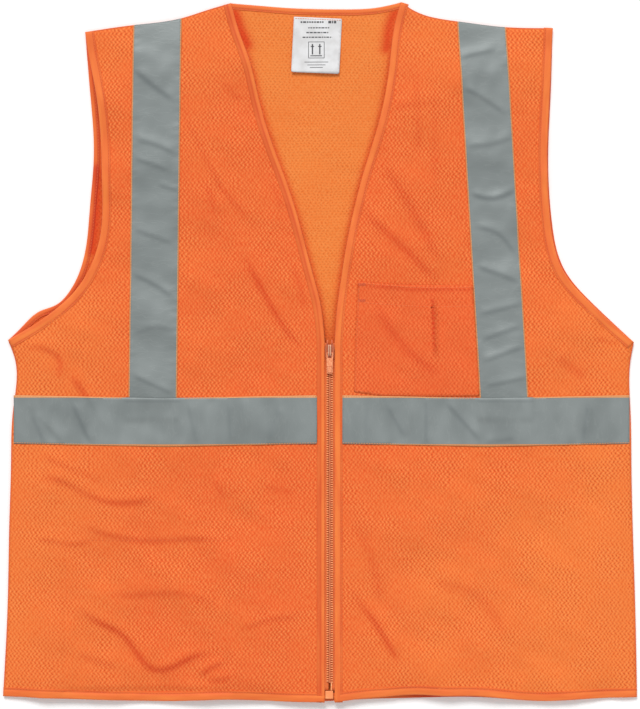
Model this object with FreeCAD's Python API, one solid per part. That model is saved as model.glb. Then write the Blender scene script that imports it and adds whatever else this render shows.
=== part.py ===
import FreeCAD, Part
import math
import os

# Blaze orange high-visibility vest, lying flat with its front up and its zip
# closed. Millimetres. +Z is up out of the cloth, +Y runs towards the collar and
# +X towards the wearer's left. Right and left are the wearer's.

V = FreeCAD.Vector
os.makedirs("parts", exist_ok=True)

# ---- cloth layers, heights above the table ----
TAPE_T = 0.5            # reflective tape
MESH_T = 1.2            # knitted mesh with its loft
BIND_T = 1.8            # folded edge binding
BACK_Z = 0.5            # underside of the back mesh, which lies on its tapes
BACK_BIND_Z = 0.2       # underside of the back bindings
FRONT_Z = 8.4           # underside of the front mesh
FRONT_BIND_Z = 8.1      # underside of the front bindings
FRONT_TOP = FRONT_Z + MESH_T
POCKET_T = 0.8          # patch pocket cloth
POCKET_HEM_T = 0.6      # turned-down pocket hem
LABEL_T = 0.4           # satin label
LABEL_Z = 2.0           # underside of the label, just clear of the back mesh

# ---- widths of the sewn bands ----
NECK_BAND = 6.0         # back neck binding
ARM_BAND = 9.4          # armhole binding
HEM_BAND = 9.6          # hem binding
PLACKET_BAND = 8.5      # V neck and zip placket binding
SHOULDER_BAND = 6.0     # shoulder seam
SIDE_BAND = 9.0         # side seam allowance
FOLD_GAP = 0.35         # half the gap along each fold line

# ---- zip ----
ZIP_X = 10.4            # centre line of the chain
ZIP_TOP_Y = 8.0         # top of the slider at rest
CHAIN_TOP_Y = 5.0       # top end of the chain
BOX_TOP_Y = -354.0      # top of the retaining box
HEM_Y = -366.0
PLACKET_HALF = 5.8      # half the gap between the placket edges
ZIP_TAPE_T = 0.5
ZIP_TAPE_Z = 7.6
ZIP_TAPE_W = 15.0
ZIP_TAPE_INNER = 1.0
TOOTH_PITCH = 3.0
TOOTH_W = 1.2           # along the chain
TOOTH_REACH = 0.75      # how far an element crosses the centre line
TOOTH_Z = 8.1
TOOTH_H = 2.0
STRIP_IN = 1.45         # inner and outer edges of the row the elements grow from
STRIP_OUT = 3.0
SLIDER_L = 14.4
SLIDER_HALF_TOP = 4.9
SLIDER_HALF_LOW = 4.6
SLIDER_LOW_Z = 6.3      # underside of the slider's lower plate
SLIDER_LOW_T = 1.05
CHANNEL_Z = 10.35       # underside of the slider's upper plate
SLIDER_TOP_T = 1.05
CHANNEL_HALF = 3.35
WING_Z = 8.35           # underside of the slider's side wings, above the tapes
PIVOT_Z = 12.3          # pull tab's pivot
PIVOT_Y = -1.0
PIVOT_R = 0.65
BRIDGE_HALF_X = 0.9
BRIDGE_INNER = 1.35     # clear space about the pivot inside the bridge
BRIDGE_OUTER = 2.35
BRIDGE_TOP_Y = 6.4      # upper end of the bridge
BRIDGE_LEG = 1.1
EYE_END_Y = -6.3        # lower end of the pull tab's eye
TAB_LOW_Y = -22.5
TAB_W = 7.0
TAB_T = 1.2

# ---- landmarks of the pattern ----
NECK_R = (-92.9, 365.4)
NECK_L = (85.1, 366.4)
POINT_R = (-245.8, 335.0)
POINT_L = (244.2, 339.2)
TIP_R = (-326.4, 12.6)
TIP_L = (329.0, 10.5)
CORNER_R = (-331.6, -360.5)
CORNER_L = (332.2, -361.5)
NECK_DIP = [(-66.7, 363.3), (-25.9, 360.2), (25.4, 359.1), (60.0, 361.0)]
SHOULDER_R = [(-121.2, 357.0), (-144.2, 349.7), (-194.5, 342.4)]
SHOULDER_L = [(99.7, 357.0), (141.6, 346.6), (192.9, 340.3)]
ARM_R = [
    (-240.5, 270.0), (-236.8, 205.0), (-240.6, 155.0), (-251.0, 86.0), (-263.0, 62.5),
    (-277.0, 49.0), (-293.0, 43.0), (-313.8, 24.6),
]
ARM_L = [(242.0, 270.0), (239.5, 200.0), (243.2, 138.2), (255.7, 88.0), (284.0, 53.0)]
ARM_FRONT_R = [
    (-241.0, 306.0), (-233.8, 270.0), (-229.0, 222.0), (-227.4, 170.0), (-230.6, 117.3),
    (-240.0, 89.5), (-252.5, 68.5), (-284.5, 38.5),
]
ARM_FRONT_L = [(240.5, 270.0), (237.8, 200.0), (241.0, 138.2), (253.0, 88.0), (281.5, 53.0)]
SIDE_R = [(-318.5, -10.0), (-321.2, -62.0), (-323.2, -116.0), (-325.0, -180.0), (-326.6, -259.7)]
SIDE_L = [(325.2, -10.0), (325.4, -62.0), (326.3, -116.0), (327.6, -180.0), (330.1, -259.7)]
HEM = [
    (-209.0, -364.4), (-160.0, -365.3), (-100.0, -363.4), (-45.0, -365.2), (4.6, -366.0),
    (42.0, -364.0), (100.0, -362.3), (170.0, -361.8), (220.0, -365.0), (275.0, -363.4),
]
HEM_LIFT = [(42.0, -362.6), (74.0, -360.0), (96.0, -358.4), (130.0, -359.2), (168.0, -359.8),
            (220.0, -364.6), (275.0, -363.2)]
V_NECK_R = [(-84.2, 335.0), (-73.0, 303.5), (-64.0, 266.0), (-51.0, 221.5), (-35.4, 179.5), (-20.5, 132.0),
            (-7.5, 82.5), (0.9, 50.0)]
V_NECK_L = [(78.4, 342.0), (74.0, 308.0), (69.5, 275.0), (59.5, 232.0), (46.0, 188.5), (36.5, 152.0),
            (29.0, 117.5), (22.5, 77.5), (18.0, 45.0)]
V_FOOT_Y = 9.0

# ---- fold lines about which the fronts open ----
FOLD_R = ((-91.9, 365.4), (-318.0, -366.4))
FOLD_L = ((85.1, 366.4), (318.5, -366.4))

# ---- reflective tapes ----
TAPE_W = 50.8
TAPE_RIGHT_X = (-169.4, -174.6)    # centre at the shoulder and at the waist
TAPE_LEFT_X = (167.2, 194.0)
WAIST_Y = -73.5
WAIST_SAG = 3.0
BACK_TAPE_X = 172.0

# ---- pockets and label ----
POCKET = [(40.0, 73.6), (176.0, 69.6), (182.0, -50.0), (42.0, -50.0), (36.0, -43.0)]
POCKET_HEM_D = 23.0
INNER_POCKET = [(-265.7, -196.8), (-94.0, -196.8), (-94.0, -352.0), (-265.7, -352.0)]
LABEL = [(-27.0, 351.2), (23.3, 349.0), (20.4, 291.0), (-29.9, 293.2)]


def smooth(points, step=9.0):
    """An even run of points on the smooth curve through the given ones."""
    curve = Part.BSplineCurve()
    curve.interpolate([V(x, y, 0) for x, y in points])
    count = max(4, int(curve.length() / step))
    return [(p.x, p.y) for p in curve.discretize(count + 1)]


def face(points):
    ring = [V(x, y, 0) for x, y in points]
    return Part.Face(Part.makePolygon(ring + [ring[0]]))


def normals(line):
    """Unit normals to the left of the line at each of its points."""
    found = []
    for i in range(len(line)):
        a = line[max(i - 1, 0)]
        b = line[min(i + 1, len(line) - 1)]
        dx, dy = b[0] - a[0], b[1] - a[1]
        size = math.hypot(dx, dy)
        found.append((-dy / size, dx / size))
    return found


def band(line, width, grow=0.0):
    """A band of the given width on the left of a line, longer at both ends by grow."""
    turned = normals(line)
    ends = list(line)
    for i, sign in ((0, -1), (len(line) - 1, 1)):
        nx, ny = turned[i]
        ends[i] = (line[i][0] + sign * ny * grow, line[i][1] - sign * nx * grow)
    inner = [(x + nx * width, y + ny * width) for (x, y), (nx, ny) in zip(ends, turned)]
    return face(ends + inner[::-1])


def raise_to(flat, z, height):
    """Flat faces made solid between z and z + height."""
    solids = []
    for one in flat.Faces:
        if one.Area > 1.0:
            moved = one.copy()
            moved.translate(V(0, 0, z))
            solids.append(moved.extrude(V(0, 0, height)))
    return Part.makeCompound(solids) if len(solids) > 1 else solids[0]


def save(name, shape):
    shape.exportStep("parts/" + name + ".step")


def box(x0, x1, y0, y1, z0, z1):
    return Part.makeBox(x1 - x0, y1 - y0, z1 - z0, V(x0, y0, z0))


# ---- edges of the pattern, each as a run of points ----
SHOULDER_EDGE_R = smooth([NECK_R] + SHOULDER_R + [POINT_R])
SHOULDER_EDGE_L = smooth([NECK_L] + SHOULDER_L + [POINT_L])
NECK_EDGE = smooth([NECK_R] + NECK_DIP + [NECK_L])
ARM_EDGE_R = smooth([POINT_R] + ARM_R + [TIP_R])
ARM_EDGE_L = smooth([POINT_L] + ARM_L + [TIP_L])
ARM_FRONT_EDGE_R = smooth([POINT_R] + ARM_FRONT_R + [TIP_R])
ARM_FRONT_EDGE_L = smooth([POINT_L] + ARM_FRONT_L + [TIP_L])
SIDE_EDGE_R = smooth([TIP_R] + SIDE_R + [CORNER_R], 20.0)
SIDE_EDGE_L = smooth([TIP_L] + SIDE_L + [CORNER_L], 20.0)
HEM_EDGE = smooth([CORNER_R] + HEM + [CORNER_L], 20.0)
HEM_EDGE_R = smooth([CORNER_R] + HEM[:4] + [(ZIP_X - PLACKET_HALF, HEM_Y)], 20.0)
HEM_EDGE_L = smooth([(ZIP_X + PLACKET_HALF, HEM_Y)] + HEM_LIFT + [CORNER_L], 20.0)
V_EDGE_R = smooth([NECK_R] + V_NECK_R + [(ZIP_X - PLACKET_HALF, V_FOOT_Y)])
V_EDGE_L = smooth([NECK_L] + V_NECK_L + [(ZIP_X + PLACKET_HALF, V_FOOT_Y)])
OPENING_R = V_EDGE_R + [(ZIP_X - PLACKET_HALF, HEM_Y)]
OPENING_L = V_EDGE_L + [(ZIP_X + PLACKET_HALF, HEM_Y)]


def back_outline():
    ring = NECK_EDGE + SHOULDER_EDGE_L[1:] + ARM_EDGE_L[1:] + SIDE_EDGE_L[1:]
    ring = ring + HEM_EDGE[::-1][1:] + SIDE_EDGE_R[::-1][1:] + ARM_EDGE_R[::-1][1:]
    return face(ring + SHOULDER_EDGE_R[::-1][1:-1])


def front_outline_right():
    ring = SHOULDER_EDGE_R + ARM_FRONT_EDGE_R[1:] + SIDE_EDGE_R[1:] + HEM_EDGE_R[1:]
    return face(ring + OPENING_R[::-1][1:-1])


def front_outline_left():
    ring = SHOULDER_EDGE_L + ARM_FRONT_EDGE_L[1:] + SIDE_EDGE_L[1:] + HEM_EDGE_L[::-1][1:]
    return face(ring + OPENING_L[::-1][1:-1])


def fold_sides(fold, inner_sign):
    """Two wide faces, one on each side of a fold line and clear of it: fixed, moving."""
    (ax, ay), (bx, by) = fold
    size = math.hypot(bx - ax, by - ay)
    ux, uy = (bx - ax) / size, (by - ay) / size
    nx, ny = -uy * inner_sign, ux * inner_sign
    wide = 900.0
    start = (ax - ux * wide, ay - uy * wide)
    stop = (bx + ux * wide, by + uy * wide)
    sides = []
    for sign in (-1, 1):
        near, far = sign * FOLD_GAP, sign * wide
        sides.append(face([
            (start[0] + nx * near, start[1] + ny * near),
            (stop[0] + nx * near, stop[1] + ny * near),
            (stop[0] + nx * far, stop[1] + ny * far),
            (start[0] + nx * far, start[1] + ny * far),
        ]))
    return sides


FIXED_R, MOVING_R = fold_sides(FOLD_R, 1)
FIXED_L, MOVING_L = fold_sides(FOLD_L, -1)


def make_back():
    """The back: mesh, bindings and the outer tapes that it lies on."""
    whole = back_outline()
    seam_r = band(SIDE_EDGE_R, SIDE_BAND, 30.0).common(whole)
    seam_l = band(SIDE_EDGE_L, -SIDE_BAND, 30.0).common(whole)
    top_r = band(SHOULDER_EDGE_R, SHOULDER_BAND, 30.0).common(whole)
    top_l = band(SHOULDER_EDGE_L, -SHOULDER_BAND, 30.0).common(whole)
    seams = [seam_r, seam_l, top_r, top_l]
    hem = band(HEM_EDGE, HEM_BAND, 30.0).common(whole).cut(seams)
    arm_r = band(ARM_EDGE_R, ARM_BAND, 30.0).common(whole).cut(seams)
    arm_l = band(ARM_EDGE_L, -ARM_BAND, 30.0).common(whole).cut(seams)
    neck = band(NECK_EDGE, -NECK_BAND, 30.0).common(whole).cut(seams)
    panel = whole.cut(seams + [hem, arm_r, arm_l, neck])
    save("back_panel", raise_to(panel, BACK_Z, MESH_T))
    save("back_neck_binding", raise_to(neck, BACK_BIND_Z, BIND_T))
    save("back_armhole_binding_right", raise_to(arm_r, BACK_BIND_Z, BIND_T))
    save("back_armhole_binding_left", raise_to(arm_l, BACK_BIND_Z, BIND_T))
    save("back_hem_binding", raise_to(hem, BACK_BIND_Z, BIND_T))
    waist = waist_band(-340.0, 340.0).common(panel)
    save("back_waist_tape", raise_to(waist, BACK_Z - TAPE_T, TAPE_T))
    for name, sign in (("back_tape_right", -1), ("back_tape_left", 1)):
        middle = sign * BACK_TAPE_X
        strip = tape_strip(middle, middle, 380.0, WAIST_Y).common(panel)
        strip = strip.cut(waist_band(-340.0, 340.0))
        save(name, raise_to(strip, BACK_Z - TAPE_T, TAPE_T))
    return whole, seam_r, seam_l, top_r, top_l


def waist_band(x0, x1):
    """The band of tape round the waist, which sags a little in the middle of each half."""
    top = WAIST_Y + TAPE_W / 2
    low = top - TAPE_W
    middle = (x0 + x1) / 2
    return face([
        (x0, top + WAIST_SAG), (middle, top), (x1, top + WAIST_SAG),
        (x1, low + WAIST_SAG), (middle, low), (x0, low + WAIST_SAG),
    ])


def tape_strip(top_x, low_x, top_y, low_y):
    half = TAPE_W / 2
    return face([
        (top_x - half, top_y), (top_x + half, top_y),
        (low_x + half, low_y), (low_x - half, low_y),
    ])


def make_seams(seam_r, seam_l, top_r, top_l):
    """Shoulder and side seams, which join the back to the fronts through both layers."""
    low, high = BACK_BIND_Z, FRONT_BIND_Z + BIND_T
    save("side_seam_right", raise_to(seam_r, low, high - low))
    save("side_seam_left", raise_to(seam_l, low, high - low))
    save("shoulder_seam_right", raise_to(top_r, low, high - low))
    save("shoulder_seam_left", raise_to(top_l, low, high - low))


def make_front(side, seams):
    """One front: mesh, bindings and tapes, each split where it crosses the fold line."""
    right = side == "right"
    sign = 1 if right else -1
    whole = front_outline_right() if right else front_outline_left()
    arm_edge = ARM_FRONT_EDGE_R if right else ARM_FRONT_EDGE_L
    hem_edge = HEM_EDGE_R if right else HEM_EDGE_L
    opening = OPENING_R if right else OPENING_L
    fixed, moving = (FIXED_R, MOVING_R) if right else (FIXED_L, MOVING_L)
    placket = band(opening, -sign * PLACKET_BAND, 30.0).common(whole).cut(seams)
    arm = band(arm_edge, sign * ARM_BAND, 30.0).common(whole).cut(seams)
    hem = band(hem_edge, HEM_BAND, 30.0).common(whole).cut(seams + [placket])
    panel = whole.cut(seams + [placket, arm, hem])
    if right:
        tape = tape_strip(TAPE_RIGHT_X[0], TAPE_RIGHT_X[1], 380.0, WAIST_Y)
        waist = waist_band(-340.0, ZIP_X)
    else:
        tape = tape_strip(TAPE_LEFT_X[0], TAPE_LEFT_X[1], 380.0, WAIST_Y)
        waist = waist_band(ZIP_X, 340.0)
    waist = waist.common(panel)
    tape = tape.common(panel).cut(waist)
    save("front_side_" + side, raise_to(panel.common(fixed), FRONT_Z, MESH_T))
    save("front_flap_" + side, raise_to(panel.common(moving), FRONT_Z, MESH_T))
    save("front_armhole_binding_" + side, raise_to(arm.common(fixed), FRONT_BIND_Z, BIND_T))
    save("placket_" + side, raise_to(placket.common(moving), FRONT_BIND_Z, BIND_T))
    save("front_hem_" + side, raise_to(hem.common(moving), FRONT_BIND_Z, BIND_T))
    save("shoulder_tape_" + side, raise_to(tape.common(fixed), FRONT_TOP, TAPE_T))
    save("chest_tape_" + side, raise_to(tape.common(moving), FRONT_TOP, TAPE_T))
    save("waist_tape_side_" + side, raise_to(waist.common(fixed), FRONT_TOP, TAPE_T))
    save("waist_tape_" + side, raise_to(waist.common(moving), FRONT_TOP, TAPE_T))
    return tape, waist, panel.common(moving)


def make_zip_side(side):
    """One half of the zip: woven tape, its row of elements and its top stop."""
    sign = -1 if side == "right" else 1
    low_y = BOX_TOP_Y + 0.5

    def at(distance):
        return ZIP_X + sign * distance

    tape = face([
        (at(ZIP_TAPE_INNER), CHAIN_TOP_Y + 8.0), (at(ZIP_TAPE_W), CHAIN_TOP_Y + 30.0),
        (at(ZIP_TAPE_W), low_y), (at(ZIP_TAPE_INNER), low_y),
    ])
    save("zip_tape_" + side, raise_to(tape, ZIP_TAPE_Z, ZIP_TAPE_T))
    ring = [(at(STRIP_OUT), low_y + 9.0), (at(STRIP_OUT), CHAIN_TOP_Y)]
    y = CHAIN_TOP_Y - (0.0 if side == "right" else TOOTH_PITCH / 2)
    ring.append((at(STRIP_IN), CHAIN_TOP_Y))
    while y - TOOTH_W > low_y + 10.0:
        ring.append((at(STRIP_IN), y - 0.01))
        ring.append((at(-TOOTH_REACH), y - 0.1))
        ring.append((at(-TOOTH_REACH), y - TOOTH_W + 0.1))
        ring.append((at(STRIP_IN), y - TOOTH_W))
        y -= TOOTH_PITCH
    ring.append((at(STRIP_IN), low_y + 9.0))
    save("zip_teeth_" + side, raise_to(face(ring), TOOTH_Z, TOOTH_H))
    xs = sorted((at(1.5), at(3.2)))
    stop = box(xs[0], xs[1], ZIP_TOP_Y + 0.5, ZIP_TOP_Y + 4.5, TOOTH_Z, TOOTH_Z + TOOTH_H)
    save("zip_top_stop_" + side, stop)


def make_box_and_pin():
    """The retaining box on the right half, and the pin on the left that stands above it."""
    shell = box(ZIP_X - 4.6, ZIP_X + 3.6, HEM_Y + 4.0, BOX_TOP_Y, ZIP_TAPE_Z - 0.6, TOOTH_Z + 2.4)
    socket = box(ZIP_X + 0.6, ZIP_X + 2.8, HEM_Y + 6.0, BOX_TOP_Y + 1.0, ZIP_TAPE_Z, TOOTH_Z + 1.8)
    shell = shell.makeFillet(0.5, shell.Edges)
    save("zip_retaining_box", shell.cut(socket))
    pin = box(ZIP_X + 1.1, ZIP_X + 2.5, BOX_TOP_Y + 0.5, BOX_TOP_Y + 8.6, TOOTH_Z, TOOTH_Z + 1.6)
    save("zip_insertion_pin", pin)


def make_slider():
    """Slider body: two plates joined by a wedge, wings over the tapes, and a bridge on top."""
    top, low = ZIP_TOP_Y, ZIP_TOP_Y - SLIDER_L
    plan = face([
        (ZIP_X - SLIDER_HALF_LOW + 1.0, low), (ZIP_X + SLIDER_HALF_LOW - 1.0, low),
        (ZIP_X + SLIDER_HALF_LOW, low + 1.2), (ZIP_X + SLIDER_HALF_TOP, top - 4.0),
        (ZIP_X + SLIDER_HALF_TOP - 1.2, top), (ZIP_X - SLIDER_HALF_TOP + 1.2, top),
        (ZIP_X - SLIDER_HALF_TOP, top - 4.0), (ZIP_X - SLIDER_HALF_LOW, low + 1.2),
    ])
    lower = raise_to(plan, SLIDER_LOW_Z, SLIDER_LOW_T)
    upper = raise_to(plan, WING_Z, CHANNEL_Z + SLIDER_TOP_T - WING_Z)
    channel = box(ZIP_X - CHANNEL_HALF, ZIP_X + CHANNEL_HALF, low - 1, top + 1, WING_Z - 1, CHANNEL_Z)
    wedge = raise_to(face([
        (ZIP_X - 0.6, top - 0.3), (ZIP_X + 0.6, top - 0.3), (ZIP_X, top - 2.7),
    ]), SLIDER_LOW_Z, CHANNEL_Z + SLIDER_TOP_T - SLIDER_LOW_Z)
    body = upper.cut(channel).fuse([lower, wedge]).removeSplitter()
    save("slider_body", body)
    return body


def make_bridge():
    """The bridge, a long arch over the upper plate that the pull tab's bar hangs in."""
    base = CHANNEL_Z + SLIDER_TOP_T
    x0 = ZIP_X - BRIDGE_HALF_X
    x1 = ZIP_X + BRIDGE_HALF_X
    low_y, crown = PIVOT_Y - BRIDGE_OUTER, PIVOT_Z + BRIDGE_OUTER
    round_end = Part.makeCylinder(BRIDGE_OUTER, x1 - x0, V(x0, PIVOT_Y, PIVOT_Z), V(1, 0, 0))
    far_end = Part.makeCylinder(1.6, x1 - x0, V(x0, BRIDGE_TOP_Y - 1.6, crown - 1.6), V(1, 0, 0))
    beam = box(x0, x1, PIVOT_Y, BRIDGE_TOP_Y - 1.6, base, crown)
    lower_leg = box(x0, x1, low_y, PIVOT_Y, base, PIVOT_Z)
    upper_leg = box(x0, x1, BRIDGE_TOP_Y - 1.6, BRIDGE_TOP_Y, base, crown - 1.6)
    solid = beam.fuse([round_end, far_end, lower_leg, upper_leg])
    bore = Part.makeCylinder(BRIDGE_INNER, x1 - x0 + 2, V(x0 - 1, PIVOT_Y, PIVOT_Z), V(1, 0, 0))
    mouth = box(x0 - 1, x1 + 1, PIVOT_Y - BRIDGE_INNER, PIVOT_Y, base - 3, PIVOT_Z)
    window = box(x0 - 1, x1 + 1, PIVOT_Y, BRIDGE_TOP_Y - BRIDGE_LEG, base - 3, PIVOT_Z + BRIDGE_INNER)
    under = box(x0 - 1, x1 + 1, low_y - 1, BRIDGE_TOP_Y + 1, base - 6, base)
    save("slider_bridge", solid.cut([bore, mouth, window, under]).removeSplitter())


def make_pull_tab():
    """Pull tab: a bar through the bridge, two arms, and a plate with a raised grip."""
    half = TAB_W / 2
    z0 = PIVOT_Z - TAB_T / 2
    bar = Part.makeCylinder(PIVOT_R, TAB_W - 1.0, V(ZIP_X - half + 0.5, PIVOT_Y, PIVOT_Z), V(1, 0, 0))
    arms = []
    for x in (ZIP_X - half, ZIP_X + half - 1.5):
        arms.append(box(x, x + 1.5, EYE_END_Y, PIVOT_Y + 0.6, z0, z0 + TAB_T))
    low = TAB_LOW_Y
    plate = raise_to(face([
        (ZIP_X - half, EYE_END_Y), (ZIP_X - half + 0.5, low + 7.0), (ZIP_X - half + 0.3, low + 1.2),
        (ZIP_X - half + 1.3, low), (ZIP_X + half - 1.3, low), (ZIP_X + half - 0.3, low + 1.2),
        (ZIP_X + half - 0.5, low + 7.0), (ZIP_X + half, EYE_END_Y),
    ]), z0, TAB_T)
    grip = box(ZIP_X - 1.9, ZIP_X + 1.9, low + 1.4, low + 7.4, z0 + TAB_T, z0 + TAB_T + 0.4)
    save("pull_tab", bar.fuse(arms + [plate, grip]).removeSplitter())


def make_pockets(tape, waist, flap):
    """Chest pocket patch with its hem and bar tacks, and the inner pocket on the right."""
    patch = face(POCKET).common(flap).cut([tape, waist])
    save("chest_pocket", raise_to(patch, FRONT_TOP, POCKET_T))
    (ax, ay), (bx, by) = POCKET[0], POCKET[1]
    hem = face([(ax, ay), (bx, by), (bx, by - POCKET_HEM_D), (ax - 2, ay - POCKET_HEM_D)])
    hem = hem.common(patch)
    save("chest_pocket_hem", raise_to(hem, FRONT_TOP + POCKET_T, POCKET_HEM_T))
    tacks = []
    for x, y in ((ax + 3.0, ay - 4.0), (ax + 3.0, ay - POCKET_HEM_D + 3.0)):
        z = FRONT_TOP + POCKET_T + POCKET_HEM_T
        tacks.append(box(x - 1.0, x + 6.0, y - 1.0, y + 1.0, z, z + 0.4))
    save("chest_pocket_bar_tacks", Part.makeCompound(tacks))


def make_inner_pocket(flap):
    patch = face(INNER_POCKET).common(flap)
    save("inner_pocket", raise_to(patch, FRONT_Z - POCKET_T, POCKET_T))


def make_label():
    save("neck_label", raise_to(face(LABEL), LABEL_Z, LABEL_T))


def main():
    whole, seam_r, seam_l, top_r, top_l = make_back()
    make_seams(seam_r, seam_l, top_r, top_l)
    seams = [seam_r, seam_l, top_r, top_l]
    flap_right = make_front("right", seams)[2]
    tape_left, waist_left, flap_left = make_front("left", seams)
    for side in ("right", "left"):
        make_zip_side(side)
    make_box_and_pin()
    make_slider()
    make_bridge()
    make_pull_tab()
    make_pockets(tape_left, waist_left, flap_left)
    make_inner_pocket(flap_right)
    make_label()


main()
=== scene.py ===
import bpy
import bmesh
import math
import numpy as np
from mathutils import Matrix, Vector, geometry


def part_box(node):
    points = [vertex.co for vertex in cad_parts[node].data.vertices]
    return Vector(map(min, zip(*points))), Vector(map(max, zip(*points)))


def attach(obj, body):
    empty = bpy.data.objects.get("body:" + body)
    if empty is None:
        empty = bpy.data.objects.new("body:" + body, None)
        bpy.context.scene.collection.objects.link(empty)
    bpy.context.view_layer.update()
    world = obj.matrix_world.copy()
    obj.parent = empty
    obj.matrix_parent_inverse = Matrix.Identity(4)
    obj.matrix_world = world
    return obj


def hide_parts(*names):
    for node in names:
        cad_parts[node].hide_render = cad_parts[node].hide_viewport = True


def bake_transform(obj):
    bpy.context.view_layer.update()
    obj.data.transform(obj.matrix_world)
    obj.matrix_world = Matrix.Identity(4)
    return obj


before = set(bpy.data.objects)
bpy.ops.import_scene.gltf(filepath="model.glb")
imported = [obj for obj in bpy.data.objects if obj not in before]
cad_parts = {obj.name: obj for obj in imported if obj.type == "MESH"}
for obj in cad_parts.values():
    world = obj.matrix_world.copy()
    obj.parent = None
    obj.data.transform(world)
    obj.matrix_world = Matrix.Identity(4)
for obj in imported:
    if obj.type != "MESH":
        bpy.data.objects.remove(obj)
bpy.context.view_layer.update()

# Orange mesh vest lying flat, front up, zip closed. Lengths below are millimetres
# in the CAD frame until a mesh is made. Right and left are the wearer's.
MM = 0.001

# ---------------------------------------------------------------- pattern
NECK_R, NECK_L = (-92.9, 365.4), (85.1, 366.4)
POINT_R, POINT_L = (-245.8, 335.0), (244.2, 339.2)
TIP_R, TIP_L = (-326.4, 12.6), (329.0, 10.5)
CORNER_R, CORNER_L = (-331.6, -360.5), (332.2, -361.5)
NECK_DIP = [(-66.7, 363.3), (-25.9, 360.2), (25.4, 359.1), (60.0, 361.0)]
SHOULDER_MID_R = [(-121.2, 357.0), (-144.2, 349.7), (-194.5, 342.4)]
SHOULDER_MID_L = [(99.7, 357.0), (141.6, 346.6), (192.9, 340.3)]
ARM_MID_R = [
    (-240.5, 270.0), (-236.8, 205.0), (-240.6, 155.0), (-251.0, 86.0), (-263.0, 62.5),
    (-277.0, 49.0), (-293.0, 43.0), (-313.8, 24.6),
]
ARM_MID_L = [(242.0, 270.0), (239.5, 200.0), (243.2, 138.2), (255.7, 88.0), (284.0, 53.0)]
ARM_FRONT_MID_R = [
    (-241.0, 306.0), (-233.8, 270.0), (-229.0, 222.0), (-227.4, 170.0), (-230.6, 117.3),
    (-240.0, 89.5), (-252.5, 68.5), (-284.5, 38.5),
]
ARM_FRONT_MID_L = [(240.5, 270.0), (237.8, 200.0), (241.0, 138.2), (253.0, 88.0), (281.5, 53.0)]
SIDE_MID_R = [(-318.5, -10.0), (-321.2, -62.0), (-323.2, -116.0), (-325.0, -180.0), (-326.6, -259.7)]
SIDE_MID_L = [(325.2, -10.0), (325.4, -62.0), (326.3, -116.0), (327.6, -180.0), (330.1, -259.7)]
HEM_MID = [
    (-209.0, -364.4), (-160.0, -365.3), (-100.0, -363.4), (-45.0, -365.2), (4.6, -366.0),
    (42.0, -364.0), (100.0, -362.3), (170.0, -361.8), (220.0, -365.0), (275.0, -363.4),
]
HEM_LIFT = [(42.0, -362.6), (74.0, -360.0), (96.0, -358.4), (130.0, -359.2), (168.0, -359.8),
            (220.0, -364.6), (275.0, -363.2)]
V_MID_R = [(-84.2, 335.0), (-73.0, 303.5), (-64.0, 266.0), (-51.0, 221.5), (-35.4, 179.5), (-20.5, 132.0),
           (-7.5, 82.5), (0.9, 50.0)]
V_MID_L = [(78.4, 342.0), (74.0, 308.0), (69.5, 275.0), (59.5, 232.0), (46.0, 188.5), (36.5, 152.0),
           (29.0, 117.5), (22.5, 77.5), (18.0, 45.0)]
FOLD_R = ((-91.9, 365.4), (-318.0, -366.4))
FOLD_L = ((85.1, 366.4), (318.5, -366.4))
POCKET = [(39.6, 73.6), (78.0, 70.4), (160.0, 69.4), (167.0, -46.4), (110.0, -47.2), (68.0, -46.2),
          (35.5, -42.0), (37.0, 13.0)]
INNER_POCKET = [(-265.7, -196.8), (-94.0, -196.8), (-94.0, -355.0), (-265.7, -355.0)]
LABEL = [(-27.0, 351.2), (23.3, 349.0), (20.4, 291.0), (-29.9, 293.2)]

ZIP_X = 10.4
PLACKET_GAP = 5.1
V_FOOT_Y = 9.0
HEM_Y = -366.0
TAPE_W = 50.8
WAIST_Y = -73.5
TAPE_X = {"right": (-169.4, -174.6), "left": (167.2, 194.0)}
BAND = {"arm": 9.4, "back_arm": 6.6, "hem": 9.6, "placket": 8.5, "neck": 6.5}
CLOTH_T = 0.7
FRONT_TAPE_T, BACK_TAPE_T = 0.35, 0.32
TAPE_TOP = 380.0        # past the shoulder, where the vertical tapes are cut off
STITCH_IN = 1.7         # from a binding's inner edge to its row of stitches
STITCH_LIFT = 0.62      # from the middle of the cloth to the stitches on a binding
FRONT_LEVEL, BACK_LEVEL, SEAM_LEVEL = 8.8, 1.25, 2.9


def spline(points, step=4.0):
    """An even run of points on the natural cubic curve through the given ones."""
    p = np.array(points, float)
    t = np.r_[0, np.cumsum(np.hypot(*np.diff(p, axis=0).T))]
    n, h = len(p), np.diff(t)
    a, b = np.eye(n), np.zeros((n, 2))
    for i in range(1, n - 1):
        a[i, i - 1:i + 2] = h[i - 1], 2 * (h[i - 1] + h[i]), h[i]
        b[i] = 6 * ((p[i + 1] - p[i]) / h[i] - (p[i] - p[i - 1]) / h[i - 1])
    m = np.linalg.solve(a, b)
    s = np.linspace(0, t[-1], max(4, int(t[-1] / step)) + 1)
    k = np.clip(np.searchsorted(t, s, side="right") - 1, 0, n - 2)
    u, v, w = (t[k + 1] - s) / h[k], (s - t[k]) / h[k], (h[k] ** 2 / 6)[:, None]
    bend = ((u ** 3 - u)[:, None] * m[k] + (v ** 3 - v)[:, None] * m[k + 1]) * w
    return u[:, None] * p[k] + v[:, None] * p[k + 1] + bend


def resample(line, step):
    """The same broken line with points an even distance apart."""
    line = np.asarray(line, float)
    t = np.r_[0, np.cumsum(np.hypot(*np.diff(line, axis=0).T))]
    s = np.linspace(0, t[-1], max(1, int(round(t[-1] / step))) + 1)
    return np.c_[np.interp(s, t, line[:, 0]), np.interp(s, t, line[:, 1])]


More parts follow.
